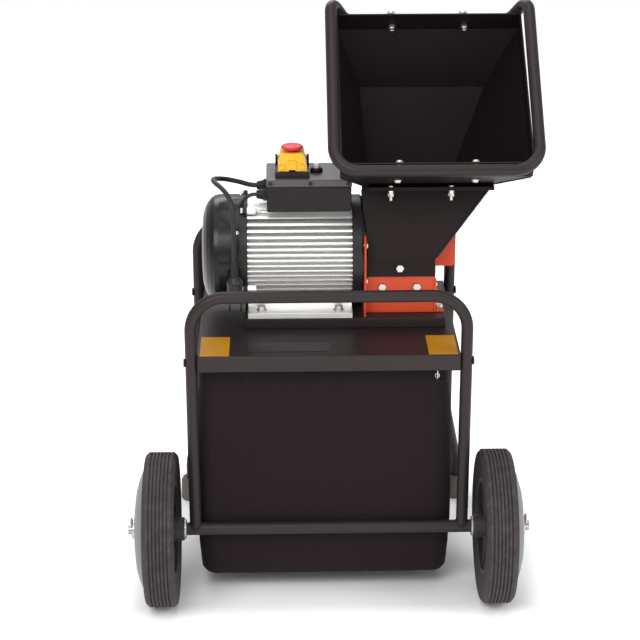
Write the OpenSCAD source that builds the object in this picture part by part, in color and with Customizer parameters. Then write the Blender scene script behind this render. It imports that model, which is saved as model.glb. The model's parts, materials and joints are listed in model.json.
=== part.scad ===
// Garden shredder: two bent-tube frames on solid wheels, a sheet deck that carries a
// flanged electric motor and a cutter housing, a tilted feed hopper and a hanging sack.
// Machine axes: X to the right, Y to the rear from the axle, Z up from the floor.

/* [Frame] */
// Outside diameter of the bent tubes
tube_d = 19; // [17:0.5:22]
// Wall of the bent tubes
tube_wall = 1.5; // [1:0.25:2.5]
// Distance between the uprights, centre to centre
frame_w = 432; // [416:1:450]
// Distance from the front frame to the rear frame
frame_l = 320; // [310:1:350]
// Height of the front cross bar
front_bar_z = 525; // [510:1:560]
// Height of the rear cross bar
rear_bar_z = 545; // [530:1:580]
// Centre-line radius of the tube bends
bend_r = 55; // [40:1:70]
// How far each rear leg spreads sideways on its way down
foot_spread = 24; // [0:1:40]
// How far each rear leg runs back on its way down
foot_back = 43; // [30:1:46]
// Height at which the rear legs bend outwards
knee_z = 190; // [160:1:260]
// Diameter of a rubber foot at the floor
foot_d = 40; // [34:1:48]
// Height of a rubber foot
foot_h = 42; // [30:1:60]

/* [Deck] */
// Height of the deck's top face
deck_z = 430; // [415:1:445]
// Thickness of the deck sheet
deck_t = 2; // [1.5:0.5:4]
// Depth of the folded deck edge
deck_lip = 27; // [24:1:40]
// Overhang of the deck past each frame's centre line
deck_over = 9.5; // [9.5:0.5:12]
// Height of the raised motor base
base_h = 17; // [12:0.5:24]
// Thickness of the base sheet
base_t = 3; // [2:0.5:5]

/* [Wheels] */
// Diameter of a wheel
wheel_d = 250; // [240:1:270]
// Width of a tyre
tyre_w = 50; // [48:1:54]
// Diameter of the rim under the tyre
rim_d = 158; // [150:1:170]
// Width of one tread groove
groove_w = 2; // [1.5:0.1:3]
// Depth of a tread groove
groove_h = 3; // [1:0.5:6]
// Diameter of the axle
axle_d = 16; // [14:0.5:18]
// Diameter of the cross tube around the axle
axle_tube_d = 20.5; // [20:0.5:24]
// How far the cross tube runs past each upright's centre line
axle_tube_over = 15; // [13.5:0.5:24]
// Length of a wheel hub
hub_l = 80; // [78:1:84]
// Distance from a hub's inner end to the middle of its tyre
tyre_in = 36; // [34:0.5:38]
// Diameter of a wheel hub
hub_d = 38; // [34:1:44]
// Diameter of the outer wheel cover
cover_d = 200; // [190:1:214]
// Wire diameter of an axle clip
clip_d = 3.4; // [2.5:0.1:4]

/* [Motor] */
// Height of the shaft above the base
shaft_h = 90; // [89:0.5:98]
// Sideways place of the housing's left end
stator_x0 = -128; // [-132:0.5:-127]
// Length of the ribbed motor housing
stator_l = 169; // [165:0.5:170]
// Diameter over the cooling ribs
rib_d = 176; // [172:1:176]
// Diameter of the housing under the ribs
core_d = 153; // [146:1:158]
// Height from one rib to the next
rib_pitch = 8.8; // [7:0.1:11]
// Thickness of a rib
rib_t = 3.2; // [2:0.1:4.5]
// Distance from the axle to the motor shaft
shaft_y = 197; // [192:1:202]
// Side-to-side distance of the motor foot holes across the shaft
foot_hole_y = 140; // [134:1:146]
// Distance of the motor foot holes along the shaft
foot_hole_x = 125; // [118:1:132]
// Diameter of the motor shaft
shaft_d = 24; // [22:0.5:26]
// Length of the fan cover
fan_cover_l = 61; // [60:0.5:66]
// Diameter of the fan cover
fan_cover_d = 180; // [180:1:188]
// Length of the fan cover's domed shoulder
fan_cover_r = 28; // [16:1:30]
// Count of fan blades
fan_blades = 8; // [5:1:12]

/* [Cutter] */
// Inside width of the cutter housing
chamber_w = 109.5; // [109:0.5:112]
// Wall of the cutter housing
chamber_t = 3.5; // [3:0.5:5]
// Distance from the shaft to the housing's front and rear walls, inside
chamber_half = 61; // [60.5:0.5:64]
// Height of the housing above the base
chamber_h = 93; // [90:1:100]
// Height of the motor plate above the base
motor_plate_h = 134; // [128:1:138]
// Radius of the knives' edges
cut_r = 58; // [56:0.5:59]
// Radius of the rotor drum
drum_r = 48; // [44:0.5:50]
// Length of the rotor drum
drum_l = 83; // [78:1:83]
// Thickness of a knife
knife_t = 6; // [4:0.5:8]
// How far the side cover stands out
side_cover_out = 34; // [26:1:36]

/* [Hopper] */
// Sideways place of the hopper's middle
hopper_x = 169; // [165:1:174]
// How far the bolted joint sits to the left of the mouth's middle
joint_shift = 6.5; // [5:0.5:8]
// Tilt of the hopper mouth from level
hopper_tilt = 38; // [34:0.5:42]
// Distance from the axle to the middle of the bolted joint
joint_y = 250; // [244:1:256]
// Height of the middle of the bolted joint
joint_z = 714; // [706:1:722]
// Width of the hopper at the bolted joint
joint_w = 212; // [206:1:216]
// Length of the hopper at the bolted joint
joint_l = 200; // [190:1:210]
// Width of the hopper mouth
mouth_w = 300; // [280:1:320]
// Length of the hopper mouth
mouth_l = 298; // [280:1:320]
// Depth of the sloping part of the hopper
taper_h = 90; // [70:1:110]
// Depth of the straight collar at the mouth
collar_h = 36; // [30:1:50]
// Thickness of the hopper sheet
sheet_t = 2.5; // [2:0.5:3.5]
// Width of the bolted joint flange
flange_w = 24; // [23:0.5:28]
// Height of the hand rail above the mouth at its top
rail_rise = 24; // [23:1:40]
// Distance between the bolts that hold the rail
rail_bolt_gap = 118; // [90:1:150]
// Distance between the bolts of the joint flange
joint_bolt_gap = 97; // [86:1:120]

/* [Switch] */
// Length of the switch box
box_l = 135; // [131:1:137]
// Depth of the switch box, front to rear
box_w = 97; // [90:1:110]
// Height of the switch box
box_h = 42; // [38:1:50]
// Wall of the switch box
box_t = 3; // [2:0.5:4]
// Height of the lid
lid_h = 12; // [9:0.5:16]
// Overhang of the lid past the box
lid_over = 1; // [0.5:0.5:1.5]
// Width of the yellow flap at its foot
flap_w = 46; // [40:1:48]
// Depth of the yellow flap, front to rear
flap_l = 48; // [44:1:54]
// Height of the yellow flap
flap_h = 28; // [26:1:30]
// How far each side of the flap leans in towards its top
flap_lean = 4; // [0:0.5:5]
// Diameter of the red mushroom
mushroom_d = 36; // [30:1:38]
// Travel of the push buttons
press = 3; // [2:0.5:4]

/* [Sack] */
// Width of the sack's open top
sack_w = 380; // [370:1:386]
// Distance from the axle to the sack's front
sack_front = 18; // [18:0.5:24]
// Distance from the sack's rear to the rear frame
sack_back = 30; // [26:1:40]
// Height of the sack
sack_h = 367; // [350:1:370]
// How far the filled lower part bulges out on each side
sack_bulge = 12; // [4:1:16]
// Thickness of the sack cloth with its hem
sack_t = 3; // [2:0.5:4]
// Wire diameter of the rim inside the hem
rim_wire = 6; // [5:0.5:8]

/* [Fits] */
// Clear gap between pieces that turn past each other
run_gap = 0.3; // [0.2:0.05:0.6]
// Radial clearance of a shaft in its bearing
fit_gap = 0.05; // [0.02:0.01:0.08]
// Gap left where one fixed piece slips into another
seat_gap = 0.1; // [0.05:0.05:0.3]
// Shank diameter of the machine bolts
bolt_d = 8; // [6:0.5:8]

/* [Hidden] */
$fn = 48;

tube_r = tube_d / 2;
half_w = frame_w / 2;
axle_z = wheel_d / 2;
foot_x = half_w + foot_spread;
foot_y = frame_l + foot_back;
foot_floor = 12;
bend_slip = 0.03;
bend_lap = 0.5;
bolt_r = bolt_d / 2;
hole_r = bolt_r + 0.2;
head_r = bolt_r * 1.7;
head_h = bolt_r * 1.3;

// Deck and base
deck_half = half_w - tube_r - seat_gap;
deck_y0 = -deck_over;
deck_y1 = frame_l + deck_over;
deck_bolt_z = deck_z - deck_lip / 2;
base_z = deck_z + base_h;
base_y0 = shaft_y - foot_hole_y / 2 - 20;
base_y1 = shaft_y + foot_hole_y / 2 + 20;
base_x0 = stator_x0 - 5;

// Wheels, as distances from the middle of the axle
washer_t = 3;
axle_tube_l = frame_w + 2 * axle_tube_over;
hub_in = axle_tube_l / 2 + washer_t + run_gap;
hub_out = hub_in + hub_l;
wheel_x = hub_in + tyre_in;
hub_tip = hub_l - tyre_in;
clip_x = hub_out + run_gap + washer_t + clip_d / 2 + seat_gap;
axle_half = clip_x + 6;
bush_r = axle_d / 2 + 3;
rim_r = rim_d / 2;

// Motor
shaft_z = base_z + shaft_h;
stator_x1 = stator_x0 + stator_l;
core_r = core_d / 2;
rib_r = rib_d / 2;
bore_r = core_r - 14;
rotor_r = 45;
gap_air = 0.5;
shield_t = 18.5;
shield_ring = rib_r - 16;
pad_top = rib_r - 8;
drive_bearing_r = 26;
fan_bearing_r = 23.5;
bearing_w = 15;
shaft_r = shaft_d / 2;
fan_x1 = stator_x0 - shield_t;
cover_seat = 6;
fan_cover_x0 = fan_x1 + cover_seat - fan_cover_l;
fan_cover_t = 2;
foot_t = 9;
stack_in = 30;

// Cutter housing
chamber_x0 = stator_x1 + shield_t;
chamber_in0 = chamber_x0 + chamber_t;
chamber_in1 = chamber_in0 + chamber_w;
chamber_x1 = chamber_in1 + chamber_t;
chamber_y0 = shaft_y - chamber_half - chamber_t;
chamber_y1 = shaft_y + chamber_half + chamber_t;
chamber_z1 = base_z + chamber_h;
ear = 75;
ear_z = 30;
ear_edge = 10;
housing_foot = 14;
base_x1 = chamber_x1 + housing_foot + 2;
drum_x0 = chamber_in0 + 12;
drum_x1 = drum_x0 + drum_l;
knife_seat = drum_r - 12;
knife_reach = sqrt(cut_r * cut_r - (knife_seat + knife_t) * (knife_seat + knife_t));
knife_back = 16;
counter_drop = 45;
counter_h = 12;
counter_tip = shaft_y - sqrt(cut_r * cut_r - pow(counter_drop - counter_h / 2, 2)) - 2;
counter_bolt_gap = 56;
counter_bolt_l = 10;
chamber_mid = (chamber_in0 + chamber_in1) / 2;
side_screw_y = 27;
side_screw_drop = 12;

// Funnel and hopper
hopper_s = sin(hopper_tilt);
hopper_c = cos(hopper_tilt);
funnel_z0 = chamber_z1 + seat_gap;
funnel_lap = 30;
funnel_bolt_z = chamber_z1 - funnel_lap / 2;
mouth_h = taper_h + collar_h;
rail_out = tube_r + seat_gap;
rail_low = 5;
rail_back_low = 28;
rail_bend = 42;
rail_top_bend = 22;
rail_in = 26;
guard_lean = 180 - atan2(taper_h, (mouth_l - joint_l) / 2);
guard_at = 0.6;
guard_gap = 122;
guard_shift = 3;
joint_bolt_r = 3;
joint_head_r = 5.8;
joint_head_h = 2.4;
bolt_out = 17;
nut_h = 5.5;
strip_gap = 0.6;
funnel_x0 = chamber_in0 + joint_head_h + 2.1;
joint_x = hopper_x - joint_shift;
front_bolt_x = joint_x - 11;

// Switch box
box_x1 = stator_x1 - 1.5;
box_x0 = box_x1 - box_l;
box_y0 = shaft_y - 57;
box_y1 = box_y0 + box_w;
box_z0 = shaft_z + pad_top;
box_z1 = box_z0 + box_h;
lid_z1 = box_z1 + lid_h;
switch_x = box_x0 + 41;
switch_y = box_y0 + 37;
switch_h = 10;
cheek_t = 4;
flap_z0 = lid_z1 + switch_h + run_gap;
flap_t = 2;
pin_r = 2;
flap_back = switch_y + flap_l / 2;
pin_y = flap_back + 5;
pin_z = flap_z0 + 8;
button_r = 8;
button_gap = 21;
button_floor = lid_z1 + switch_h - press - 4;
reset_r = 5.5;
reset_x = switch_x + flap_w / 2 + 16;
reset_y = switch_y + 10;
gland_y = [box_y0 + 0.26 * box_w, box_y0 + 0.77 * box_w];
gland_z = box_z0 + 23;
gland_l = 17;
lead_r = [3, 4];
lead_bend = 22;
lead_end_x = box_x0 - gland_l - 2 - lead_bend;

// Sack
sack_z1 = deck_z - deck_lip - 5;
sack_z0 = sack_z1 - sack_h;
sack_l = frame_l - sack_front - sack_back;
sack_y = sack_front + sack_l / 2;
sack_corner = 24;
wire_r = rim_wire / 2;
rim_x = sack_w / 2 - sack_t - wire_r - seat_gap;
rim_y = sack_l / 2 - sack_t - wire_r - seat_gap;
rim_z = sack_z1 - 8;
hook_t = 2;
hook_w = 16;
hook_x = 150;

// Middle of the machine's outer box, which is the origin
box_mid_x = (hopper_x + mouth_w / 2 + rail_out + tube_r - axle_half) / 2;
box_mid_y = (foot_y + foot_d / 2 - axle_z) / 2;

// Hand-set route of the mains lead, as steps from its gland to its plug
lead_from = [box_x0 - gland_l + 2, gland_y[1], gland_z];
lead_steps = [[0, 0, 0], [-14, 0, 1.5], [-32, -1, 7], [-52, -7, 13], [-67, -24, 19], [-71, -46, 23],
  [-66, -69, 24.5], [-55.5, -91, 22.5], [-46, -108.5, 15], [-40, -119.5, 1], [-37.8, -125, -18],
  [-37.5, -127, -42], [-37.5, -127, -68], [-37.5, -127, -94]];
lead_points = [for (s = lead_steps) lead_from + s];
plug_x = lead_from[0] - 37.5;
plug_y = lead_from[1] - 127;
plug_z = lead_from[2] - 88;
plug_r = 13.5;
relief_l = 24;
plug_l = 40;
pin_gap = 19;
plug_pin_r = 2.4;
plug_pin_l = 19;

// Vector helpers
function unit(v) = v / norm(v);
function bend_out(a, b) = unit(b - a * (a * b));
function half_turn(a, b) = acos(max(-1, min(1, a * b))) / 2;

module place() { translate([-box_mid_x, -box_mid_y, 0]) children(); }
module along_x(x, y, z) { translate([x, y, z]) rotate([0, 90, 0]) children(); }
module bar_x(r, x0, x1, y, z) { along_x(x0, y, z) cylinder(r = r, h = x1 - x0); }
module bar_y(r, y0, y1, x, z) { translate([x, y1, z]) rotate([90, 0, 0]) cylinder(r = r, h = y1 - y0); }
module hex_x(r, x0, x1, y, z) { along_x(x0, y, z) cylinder(r = r, h = x1 - x0, $fn = 6); }
module hex_y(r, y0, y1, x, z) { translate([x, y1, z]) rotate([90, 0, 0]) cylinder(r = r,
  h = y1 - y0, $fn = 6); }
module block(a, b) { translate(a) cube(b - a); }
module turned(x, points) { along_x(x, shaft_y, shaft_z) rotate_extrude() polygon(points); }
module both_sides() { children(); mirror([1, 0, 0]) children(); }

// One straight length of tube from a to b
module tube_straight(a, b, r, wall) {
  d = unit(b - a);
  side = abs(d[2]) > 0.9 ? [1, 0, 0] : [0, 0, 1];
  u = unit(cross(side, d));
  v = cross(d, u);
  multmatrix([[u[0], v[0], d[0], a[0]], [u[1], v[1], d[1], a[1]], [u[2], v[2], d[2], a[2]], [0, 0, 0, 1]])
    difference() {
      cylinder(r = r, h = norm(b - a));
      if (wall < r) translate([0, 0, -1]) cylinder(r = r - wall, h = norm(b - a) + 2);
    }
}

// One bend at p between the directions a and b; it slips a hair inside the straight ends
module tube_bend(p, a, b, tube, tube_t, rad) {
  r = tube - bend_slip;
  wall = tube_t < tube ? tube_t - 2 * bend_slip : r;
  h = half_turn(a, b);
  n = bend_out(a, b);
  s = p - a * rad * tan(h);
  c = s + n * rad;
  w = cross(-n, a);
  multmatrix([[-n[0], a[0], w[0], c[0]], [-n[1], a[1], w[1], c[1]], [-n[2], a[2], w[2], c[2]],
    [0, 0, 0, 1]])
    rotate_extrude(angle = 2 * h) translate([rad, 0]) difference() {
      circle(r);
      if (wall < r) circle(r - wall);
    }
}

// Bent tube through points p, with bend radius rad[i] at point i; closed rings join up
module tube_run(p, r, wall, rad, ring = false) {
  n = len(p);
  last = ring ? n - 1 : n - 2;
  trim = [for (i = [0 : n - 1]) let (
      bent = ring || (i > 0 && i < n - 1),
      a = unit(p[i] - p[(i + n - 1) % n]),
      b = unit(p[(i + 1) % n] - p[i])) bent ? rad[i] * tan(half_turn(a, b)) : 0];
  for (i = [0 : last]) {
    j = (i + 1) % n;
    d = unit(p[j] - p[i]);
    tube_straight(p[i] + d * max(trim[i] - bend_lap, 0), p[j] - d * max(trim[j] - bend_lap, 0), r, wall);
  }
  for (i = [0 : n - 1]) if (trim[i] > 0)
    tube_bend(p[i], unit(p[i] - p[(i + n - 1) % n]), unit(p[(i + 1) % n] - p[i]), r, wall, rad[i]);
}

// Frames
module front_frame() {
  p = [[-half_w, 0, axle_z], [-half_w, 0, front_bar_z], [half_w, 0, front_bar_z], [half_w, 0, axle_z]];
  color([0.17, 0.15, 0.16]) place() difference() {
    tube_run(p, tube_r, tube_wall, [0, bend_r, bend_r, 0]);
    bar_x(axle_tube_d / 2, -half_w - 20, half_w + 20, 0, axle_z);
    bar_x(hole_r, -half_w - 20, half_w + 20, 0, deck_bolt_z);
  }
}

module rear_frame() {
  left = [[-foot_x, foot_y, foot_floor], [-foot_x, foot_y, foot_h + 30], [-half_w, frame_l, knee_z],
    [-half_w, frame_l, rear_bar_z]];
  p = concat(left, [for (i = [3 : -1 : 0]) [-left[i][0], left[i][1], left[i][2]]]);
  color([0.17, 0.15, 0.16]) place() difference() {
    tube_run(p, tube_r, tube_wall, [0, bend_r, bend_r, bend_r, bend_r, bend_r, bend_r, 0]);
    bar_x(hole_r, -half_w - 20, half_w + 20, frame_l, deck_bolt_z);
  }
}

module axle_tube() {
  color([0.17, 0.15, 0.16]) place() difference() {
    bar_x(axle_tube_d / 2, -axle_tube_l / 2, axle_tube_l / 2, 0, axle_z);
    bar_x(axle_d / 2 + seat_gap, -axle_tube_l, axle_tube_l, 0, axle_z);
  }
}

module axle() {
  color("silver") place() difference() {
    bar_x(axle_d / 2, -axle_half, axle_half, 0, axle_z);
    both_sides() translate([clip_x, 0, axle_z - axle_d]) cylinder(r = clip_d / 2 + seat_gap,
      h = 2 * axle_d);
  }
}

module axle_washers() {
  module washer(x) {
    difference() {
      bar_x(axle_d, x, x + washer_t, 0, axle_z);
      bar_x(axle_d / 2 + fit_gap, x - 1, x + washer_t + 1, 0, axle_z);
    }
  }
  color("silver") place() both_sides() {
    washer(axle_tube_l / 2);
    washer(hub_out + run_gap);
  }
}

// A clip is a straight wire through the axle with an open eye on top
module axle_clips() {
  eye = 6;
  top = axle_z + axle_d / 2 + 8;
  color("silver") place() both_sides() {
    translate([clip_x, 0, axle_z - axle_d / 2 - 7]) cylinder(r = clip_d / 2,
      h = top - axle_z + axle_d / 2 + 7);
    translate([clip_x, -eye, top]) rotate([90, 0, 90]) rotate_extrude(angle = 300) translate([eye, 0])
      circle(clip_d / 2);
  }
}

module foot(x) {
  color([0.33, 0.33, 0.29]) place() difference() {
    translate([x, foot_y, 0]) rotate_extrude() polygon([[0, 0], [foot_d / 2 - 2, 0], [foot_d / 2, 3],
      [foot_d / 2 - 1, foot_h - 6], [foot_d / 2 - 4, foot_h], [0, foot_h]]);
    translate([x, foot_y, foot_floor]) cylinder(r = tube_r + fit_gap, h = foot_h);
  }
}
module left_foot() { foot(-foot_x); }
module right_foot() { foot(foot_x); }

// Deck
module discharge(z0, z1) {
  block([chamber_in0 + 2, chamber_y0 + chamber_t + 2, z0], [chamber_in1 - 2, chamber_y1 - chamber_t - 2,
    z1]);
}

module deck() {
  color([0.16, 0.14, 0.15]) place() difference() {
    block([-deck_half, deck_y0, deck_z - deck_lip], [deck_half, deck_y1, deck_z]);
    block([-deck_half + deck_t, deck_y0 + deck_t, deck_z - deck_lip - 1],
      [deck_half - deck_t, deck_y1 - deck_t, deck_z - deck_t]);
    discharge(deck_z - deck_lip - 1, deck_z + 1);
    for (y = [0, frame_l]) bar_x(hole_r, -half_w, half_w, y, deck_bolt_z);
    for (p = housing_holes()) translate([p[0], p[1], deck_z - deck_t - 1]) cylinder(r = hole_r,
      h = deck_t + 2);
  }
}

module deck_bolts() {
  inside = deck_half - deck_t;
  color([0.2, 0.18, 0.19]) place() both_sides() for (y = [0, frame_l]) {
    bar_x(bolt_r, inside - 9, half_w + tube_r + 1, y, deck_bolt_z);
    bar_x(head_r, half_w + tube_r, half_w + tube_r + head_h / 2, y, deck_bolt_z);
    hex_x(head_r, inside - 6.5, inside, y, deck_bolt_z);
  }
}

function foot_bolts() = [for (sx = [-1, 1], sy = [-1, 1])
  [(stator_x0 + stator_x1) / 2 + sx * foot_hole_x / 2, shaft_y + sy * foot_hole_y / 2]];
function housing_holes() = [for (y = [chamber_y0 + 14, chamber_y1 - 14]) [chamber_x1 + housing_foot / 2, y]];

module motor_base() {
  color([0.2, 0.18, 0.19]) place() difference() {
    block([base_x0, base_y0, deck_z], [base_x1, base_y1, base_z]);
    block([base_x0 + base_t, base_y0 + base_t, deck_z - 1], [base_x1 - base_t, base_y1 - base_t,
      base_z - base_t]);
    discharge(deck_z - 1, base_z + 1);
    for (p = foot_bolts()) translate([p[0], p[1], base_z - base_t - 1]) cylinder(r = hole_r,
      h = base_t + 2);
    for (p = housing_holes()) translate([p[0], p[1], base_z - base_t - 1]) cylinder(r = hole_r,
      h = base_t + 2);
  }
}

sign_w = 46;
sign_l = 80;
sign_in = 4;
name_w = 132;
name_l = 38;
name_gap = 26;
module sign_plates() {
  color([0.88, 0.66, 0.11]) place() both_sides() translate([deck_half - sign_in - sign_w,
    deck_y0 + deck_t, deck_z])
    cube([sign_w, sign_l, 0.6]);
}
module name_plate() {
  color([0.12, 0.11, 0.12]) place() translate([-deck_half + sign_in + sign_w + name_gap, deck_y0 + 18, deck_z])
    cube([name_w, name_l, 0.6]);
}

// Wheels: a solid grooved tyre, a spoked hub, an outer cover and a bearing bush
module wheel_part(side) {
  mirror([side < 0 ? 1 : 0, 0, 0]) along_x(wheel_x, 0, axle_z) children();
}

module tyre(side) {
  h = tyre_w / 2;
  r = axle_z;
  grooves = 6;
  step = (tyre_w - 10) / (grooves + 1);
  color([0.22, 0.2, 0.21]) place() wheel_part(side) rotate_extrude($fn = 72) difference() {
    polygon([[rim_r, -h + 3], [r - 9, -h], [r - 5, -h], [r, -h + 5], [r, h - 5], [r - 5, h], [r - 9, h],
      [rim_r, h - 3]]);
    for (i = [1 : grooves]) translate([r - groove_h, -h + 5 + i * step - groove_w / 2])
      square([groove_h + 1, groove_w]);
  }
}

module wheel_hub(side) {
  rim_t = 7;
  web_t = 5;
  spokes = 8;
  w = tyre_w / 2 - 3;
  color([0.2, 0.18, 0.19]) place() wheel_part(side) difference() {
    union() {
      rotate_extrude() polygon([[rim_r - rim_t, -w], [rim_r, -w], [rim_r, w], [rim_r - rim_t, w]]);
      translate([0, 0, -w + 9]) cylinder(r = rim_r - rim_t / 2, h = web_t);
      translate([0, 0, -tyre_in]) cylinder(r = hub_d / 2, h = hub_l);
      for (i = [0 : spokes - 1]) rotate([0, 0, i * 360 / spokes]) translate([0, -2.5, -w + 4])
        cube([rim_r - rim_t / 2, 5, 2 * w - 8]);
    }
    translate([0, 0, -hub_l]) cylinder(r = bush_r, h = 2 * hub_l);
  }
}

module wheel_cover(side) {
  h = tyre_w / 2 + run_gap;
  c = cover_d / 2;
  in = hub_d / 2 + seat_gap;
  d = hub_tip - 1;
  k = d - h;
  t = 2.5;
  dome = [[in, d], [c * 0.45, h + k * 0.95], [c * 0.68, h + k * 0.78], [c * 0.85, h + k * 0.5], [c, h + t]];
  under = [[c, h], [c * 0.85, h + k * 0.5 - t], [c * 0.68, h + k * 0.78 - t], [c * 0.45, h + k * 0.95 - t],
    [in, d - t]];
  color([0.72, 0.72, 0.73]) place() wheel_part(side) rotate_extrude() polygon(concat(dome, under));
}

module wheel_bush(side) {
  color([0.85, 0.83, 0.76]) place() wheel_part(side) difference() {
    translate([0, 0, -tyre_in]) cylinder(r = bush_r, h = hub_l);
    translate([0, 0, -hub_l]) cylinder(r = axle_d / 2 + fit_gap, h = 2 * hub_l);
  }
}

module left_tyre() { tyre(-1); }
module left_wheel_hub() { wheel_hub(-1); }
module left_wheel_cover() { wheel_cover(-1); }
module left_wheel_bush() { wheel_bush(-1); }
module right_tyre() { tyre(1); }
module right_wheel_hub() { wheel_hub(1); }
module right_wheel_cover() { wheel_cover(1); }
module right_wheel_bush() { wheel_bush(1); }

// Motor: an extruded housing with level ribs and feet, closed by two end shields
lug_r = 6.5;
lug_out = rib_r + 4;
lug_l = 14;
lug_in = 6.5;
lug_angles = [60, 120, -25, 205];
function lug_at(a) = [shaft_y - lug_out * cos(a), shaft_z + lug_out * sin(a)];

module motor_section() {
  difference() {
    union() {
      circle(core_r);
      intersection() {
        circle(rib_r);
        for (z = [-9 * rib_pitch : rib_pitch : 9 * rib_pitch + 0.01]) translate([-rib_r, z - rib_t / 2])
          square([2 * rib_r, rib_t]);
      }
      translate([-34, core_r - 14]) square([68, pad_top - core_r + 14]);
      translate([-foot_hole_y / 2 - 18, -shaft_h]) square([foot_hole_y + 36, foot_t]);
      for (s = [-1, 1]) polygon([[s * 24, -shaft_h], [s * 56, -shaft_h], [s * 52, -core_r * 0.66],
        [s * 20, -core_r * 0.9]]);
    }
    circle(bore_r);
    translate([-rib_r, pad_top]) square([2 * rib_r, rib_r]);
  }
}

module motor_housing() {
  color([0.78, 0.79, 0.8]) place() difference() {
    union() {
      translate([stator_x0, shaft_y, shaft_z]) rotate([90, 0, 90]) linear_extrude(stator_l) motor_section();
      for (a = lug_angles) bar_x(lug_r, stator_x0, stator_x0 + lug_l, lug_at(a)[0], lug_at(a)[1]);
    }
    for (a = lug_angles) bar_x(2.5, stator_x0 - 1, stator_x0 + lug_l - 3, lug_at(a)[0], lug_at(a)[1]);
    for (p = foot_bolts()) translate([p[0], p[1], base_z - 1]) cylinder(r = hole_r, h = foot_t + 2);
  }
}

module motor_foot_bolts() {
  top = base_z + foot_t;
  color("silver") place() for (p = foot_bolts()) translate([p[0], p[1], 0]) {
    translate([0, 0, top]) cylinder(r = head_r + 2, h = 1.6);
    translate([0, 0, top + 1.6]) cylinder(r = head_r, h = head_h, $fn = 6);
    translate([0, 0, base_z - base_t - 9]) cylinder(r = bolt_r, h = top - base_z + base_t + 10);
    translate([0, 0, base_z - base_t - 6.5]) cylinder(r = head_r, h = 6.5, $fn = 6);
  }
}

module stator_core() {
  color([0.45, 0.4, 0.36]) place() {
    turned(stator_x0 + stack_in, [[rotor_r + gap_air, 0], [bore_r, 0], [bore_r, stator_l - 2 * stack_in],
      [rotor_r + gap_air, stator_l - 2 * stack_in]]);
    for (x = [stator_x0 + stack_in - 16, stator_x1 - stack_in]) turned(x, [[rotor_r + 4, 0],
      [bore_r - 4, 0],
      [bore_r - 4, 16], [rotor_r + 4, 16]]);
  }
}

module drive_end_shield() {
  t = shield_t;
  color([0.15, 0.14, 0.15]) place() difference() {
    turned(stator_x1, [[shaft_r + 1, 4], [drive_bearing_r + 6, 0], [drive_bearing_r + 6, 6],
      [shield_ring, 6],
      [shield_ring, 0], [rib_r, 0], [rib_r, t - 4], [rib_r - 4, t], [shaft_r + 1, t]]);
    turned(stator_x1, [[0, -1], [drive_bearing_r, -1], [drive_bearing_r, bearing_w], [0, bearing_w]]);
    for (sy = [-1, 1], sz = [-1, 1]) bar_x(bolt_r, stator_x1 + 4, chamber_x0 + 1, shaft_y + sy * ear,
      shaft_z + sz * ear_z);
  }
}

module fan_end_shield() {
  t = shield_t;
  hub = fan_bearing_r + 6;
  color([0.15, 0.14, 0.15]) place() difference() {
    union() {
      turned(stator_x0 - t, [[shaft_r + 1, 0], [hub, 0], [hub, 8], [shield_ring, 8], [shield_ring, 0],
        [rib_r, 0],
        [rib_r, t], [shield_ring, t], [shield_ring, 14], [hub, 14], [hub, t], [shaft_r + 1, t]]);
      for (a = lug_angles) bar_x(lug_r, stator_x0 - lug_in, stator_x0, lug_at(a)[0], lug_at(a)[1]);
    }
    turned(stator_x0 - bearing_w, [[0, 0], [fan_bearing_r, 0], [fan_bearing_r, bearing_w + 1], [0,
      bearing_w + 1]]);
    for (a = lug_angles) {
      bar_x(2.7, stator_x0 - t, stator_x0 + 1, lug_at(a)[0], lug_at(a)[1]);
      bar_x(5.4, stator_x0 - t - 1, stator_x0 - lug_in, lug_at(a)[0], lug_at(a)[1]);
    }
    translate([lead_end_x, gland_y[0], gland_z - lead_bend - lead_in - 1])
      cylinder(r = lead_r[0] + seat_gap, h = 40);
  }
}

module shield_bolts() {
  x = stator_x0 - lug_in;
  color("silver") place() {
    for (a = lug_angles) {
      bar_x(2.5, x - 1, stator_x0 + lug_l - 3, lug_at(a)[0], lug_at(a)[1]);
      hex_x(5, x - 4, x, lug_at(a)[0], lug_at(a)[1]);
    }
    for (sy = [-1, 1], sz = [-1, 1]) {
      bar_x(bolt_r, stator_x1 + 4, chamber_in0 + 1, shaft_y + sy * ear, shaft_z + sz * ear_z);
      hex_x(head_r, chamber_in0, chamber_in0 + joint_head_h, shaft_y + sy * ear, shaft_z + sz * ear_z);
    }
  }
}

module bearing(x, r) {
  in = shaft_r + fit_gap;
  mid = shaft_r + 5;
  w = bearing_w;
  turned(x, [[in, 0], [mid, 0], [mid, 1.2], [r - 4, 1.2], [r - 4, 0], [r, 0], [r, w], [r - 4, w], [r - 4,
    w - 1.2],
    [mid, w - 1.2], [mid, w], [in, w]]);
}

module motor_bearings() {
  color([0.7, 0.7, 0.72]) place() {
    bearing(stator_x1, drive_bearing_r);
    bearing(stator_x0 - bearing_w, fan_bearing_r);
  }
}

// Round-shouldered cover with an air grille of round holes in its end

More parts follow.
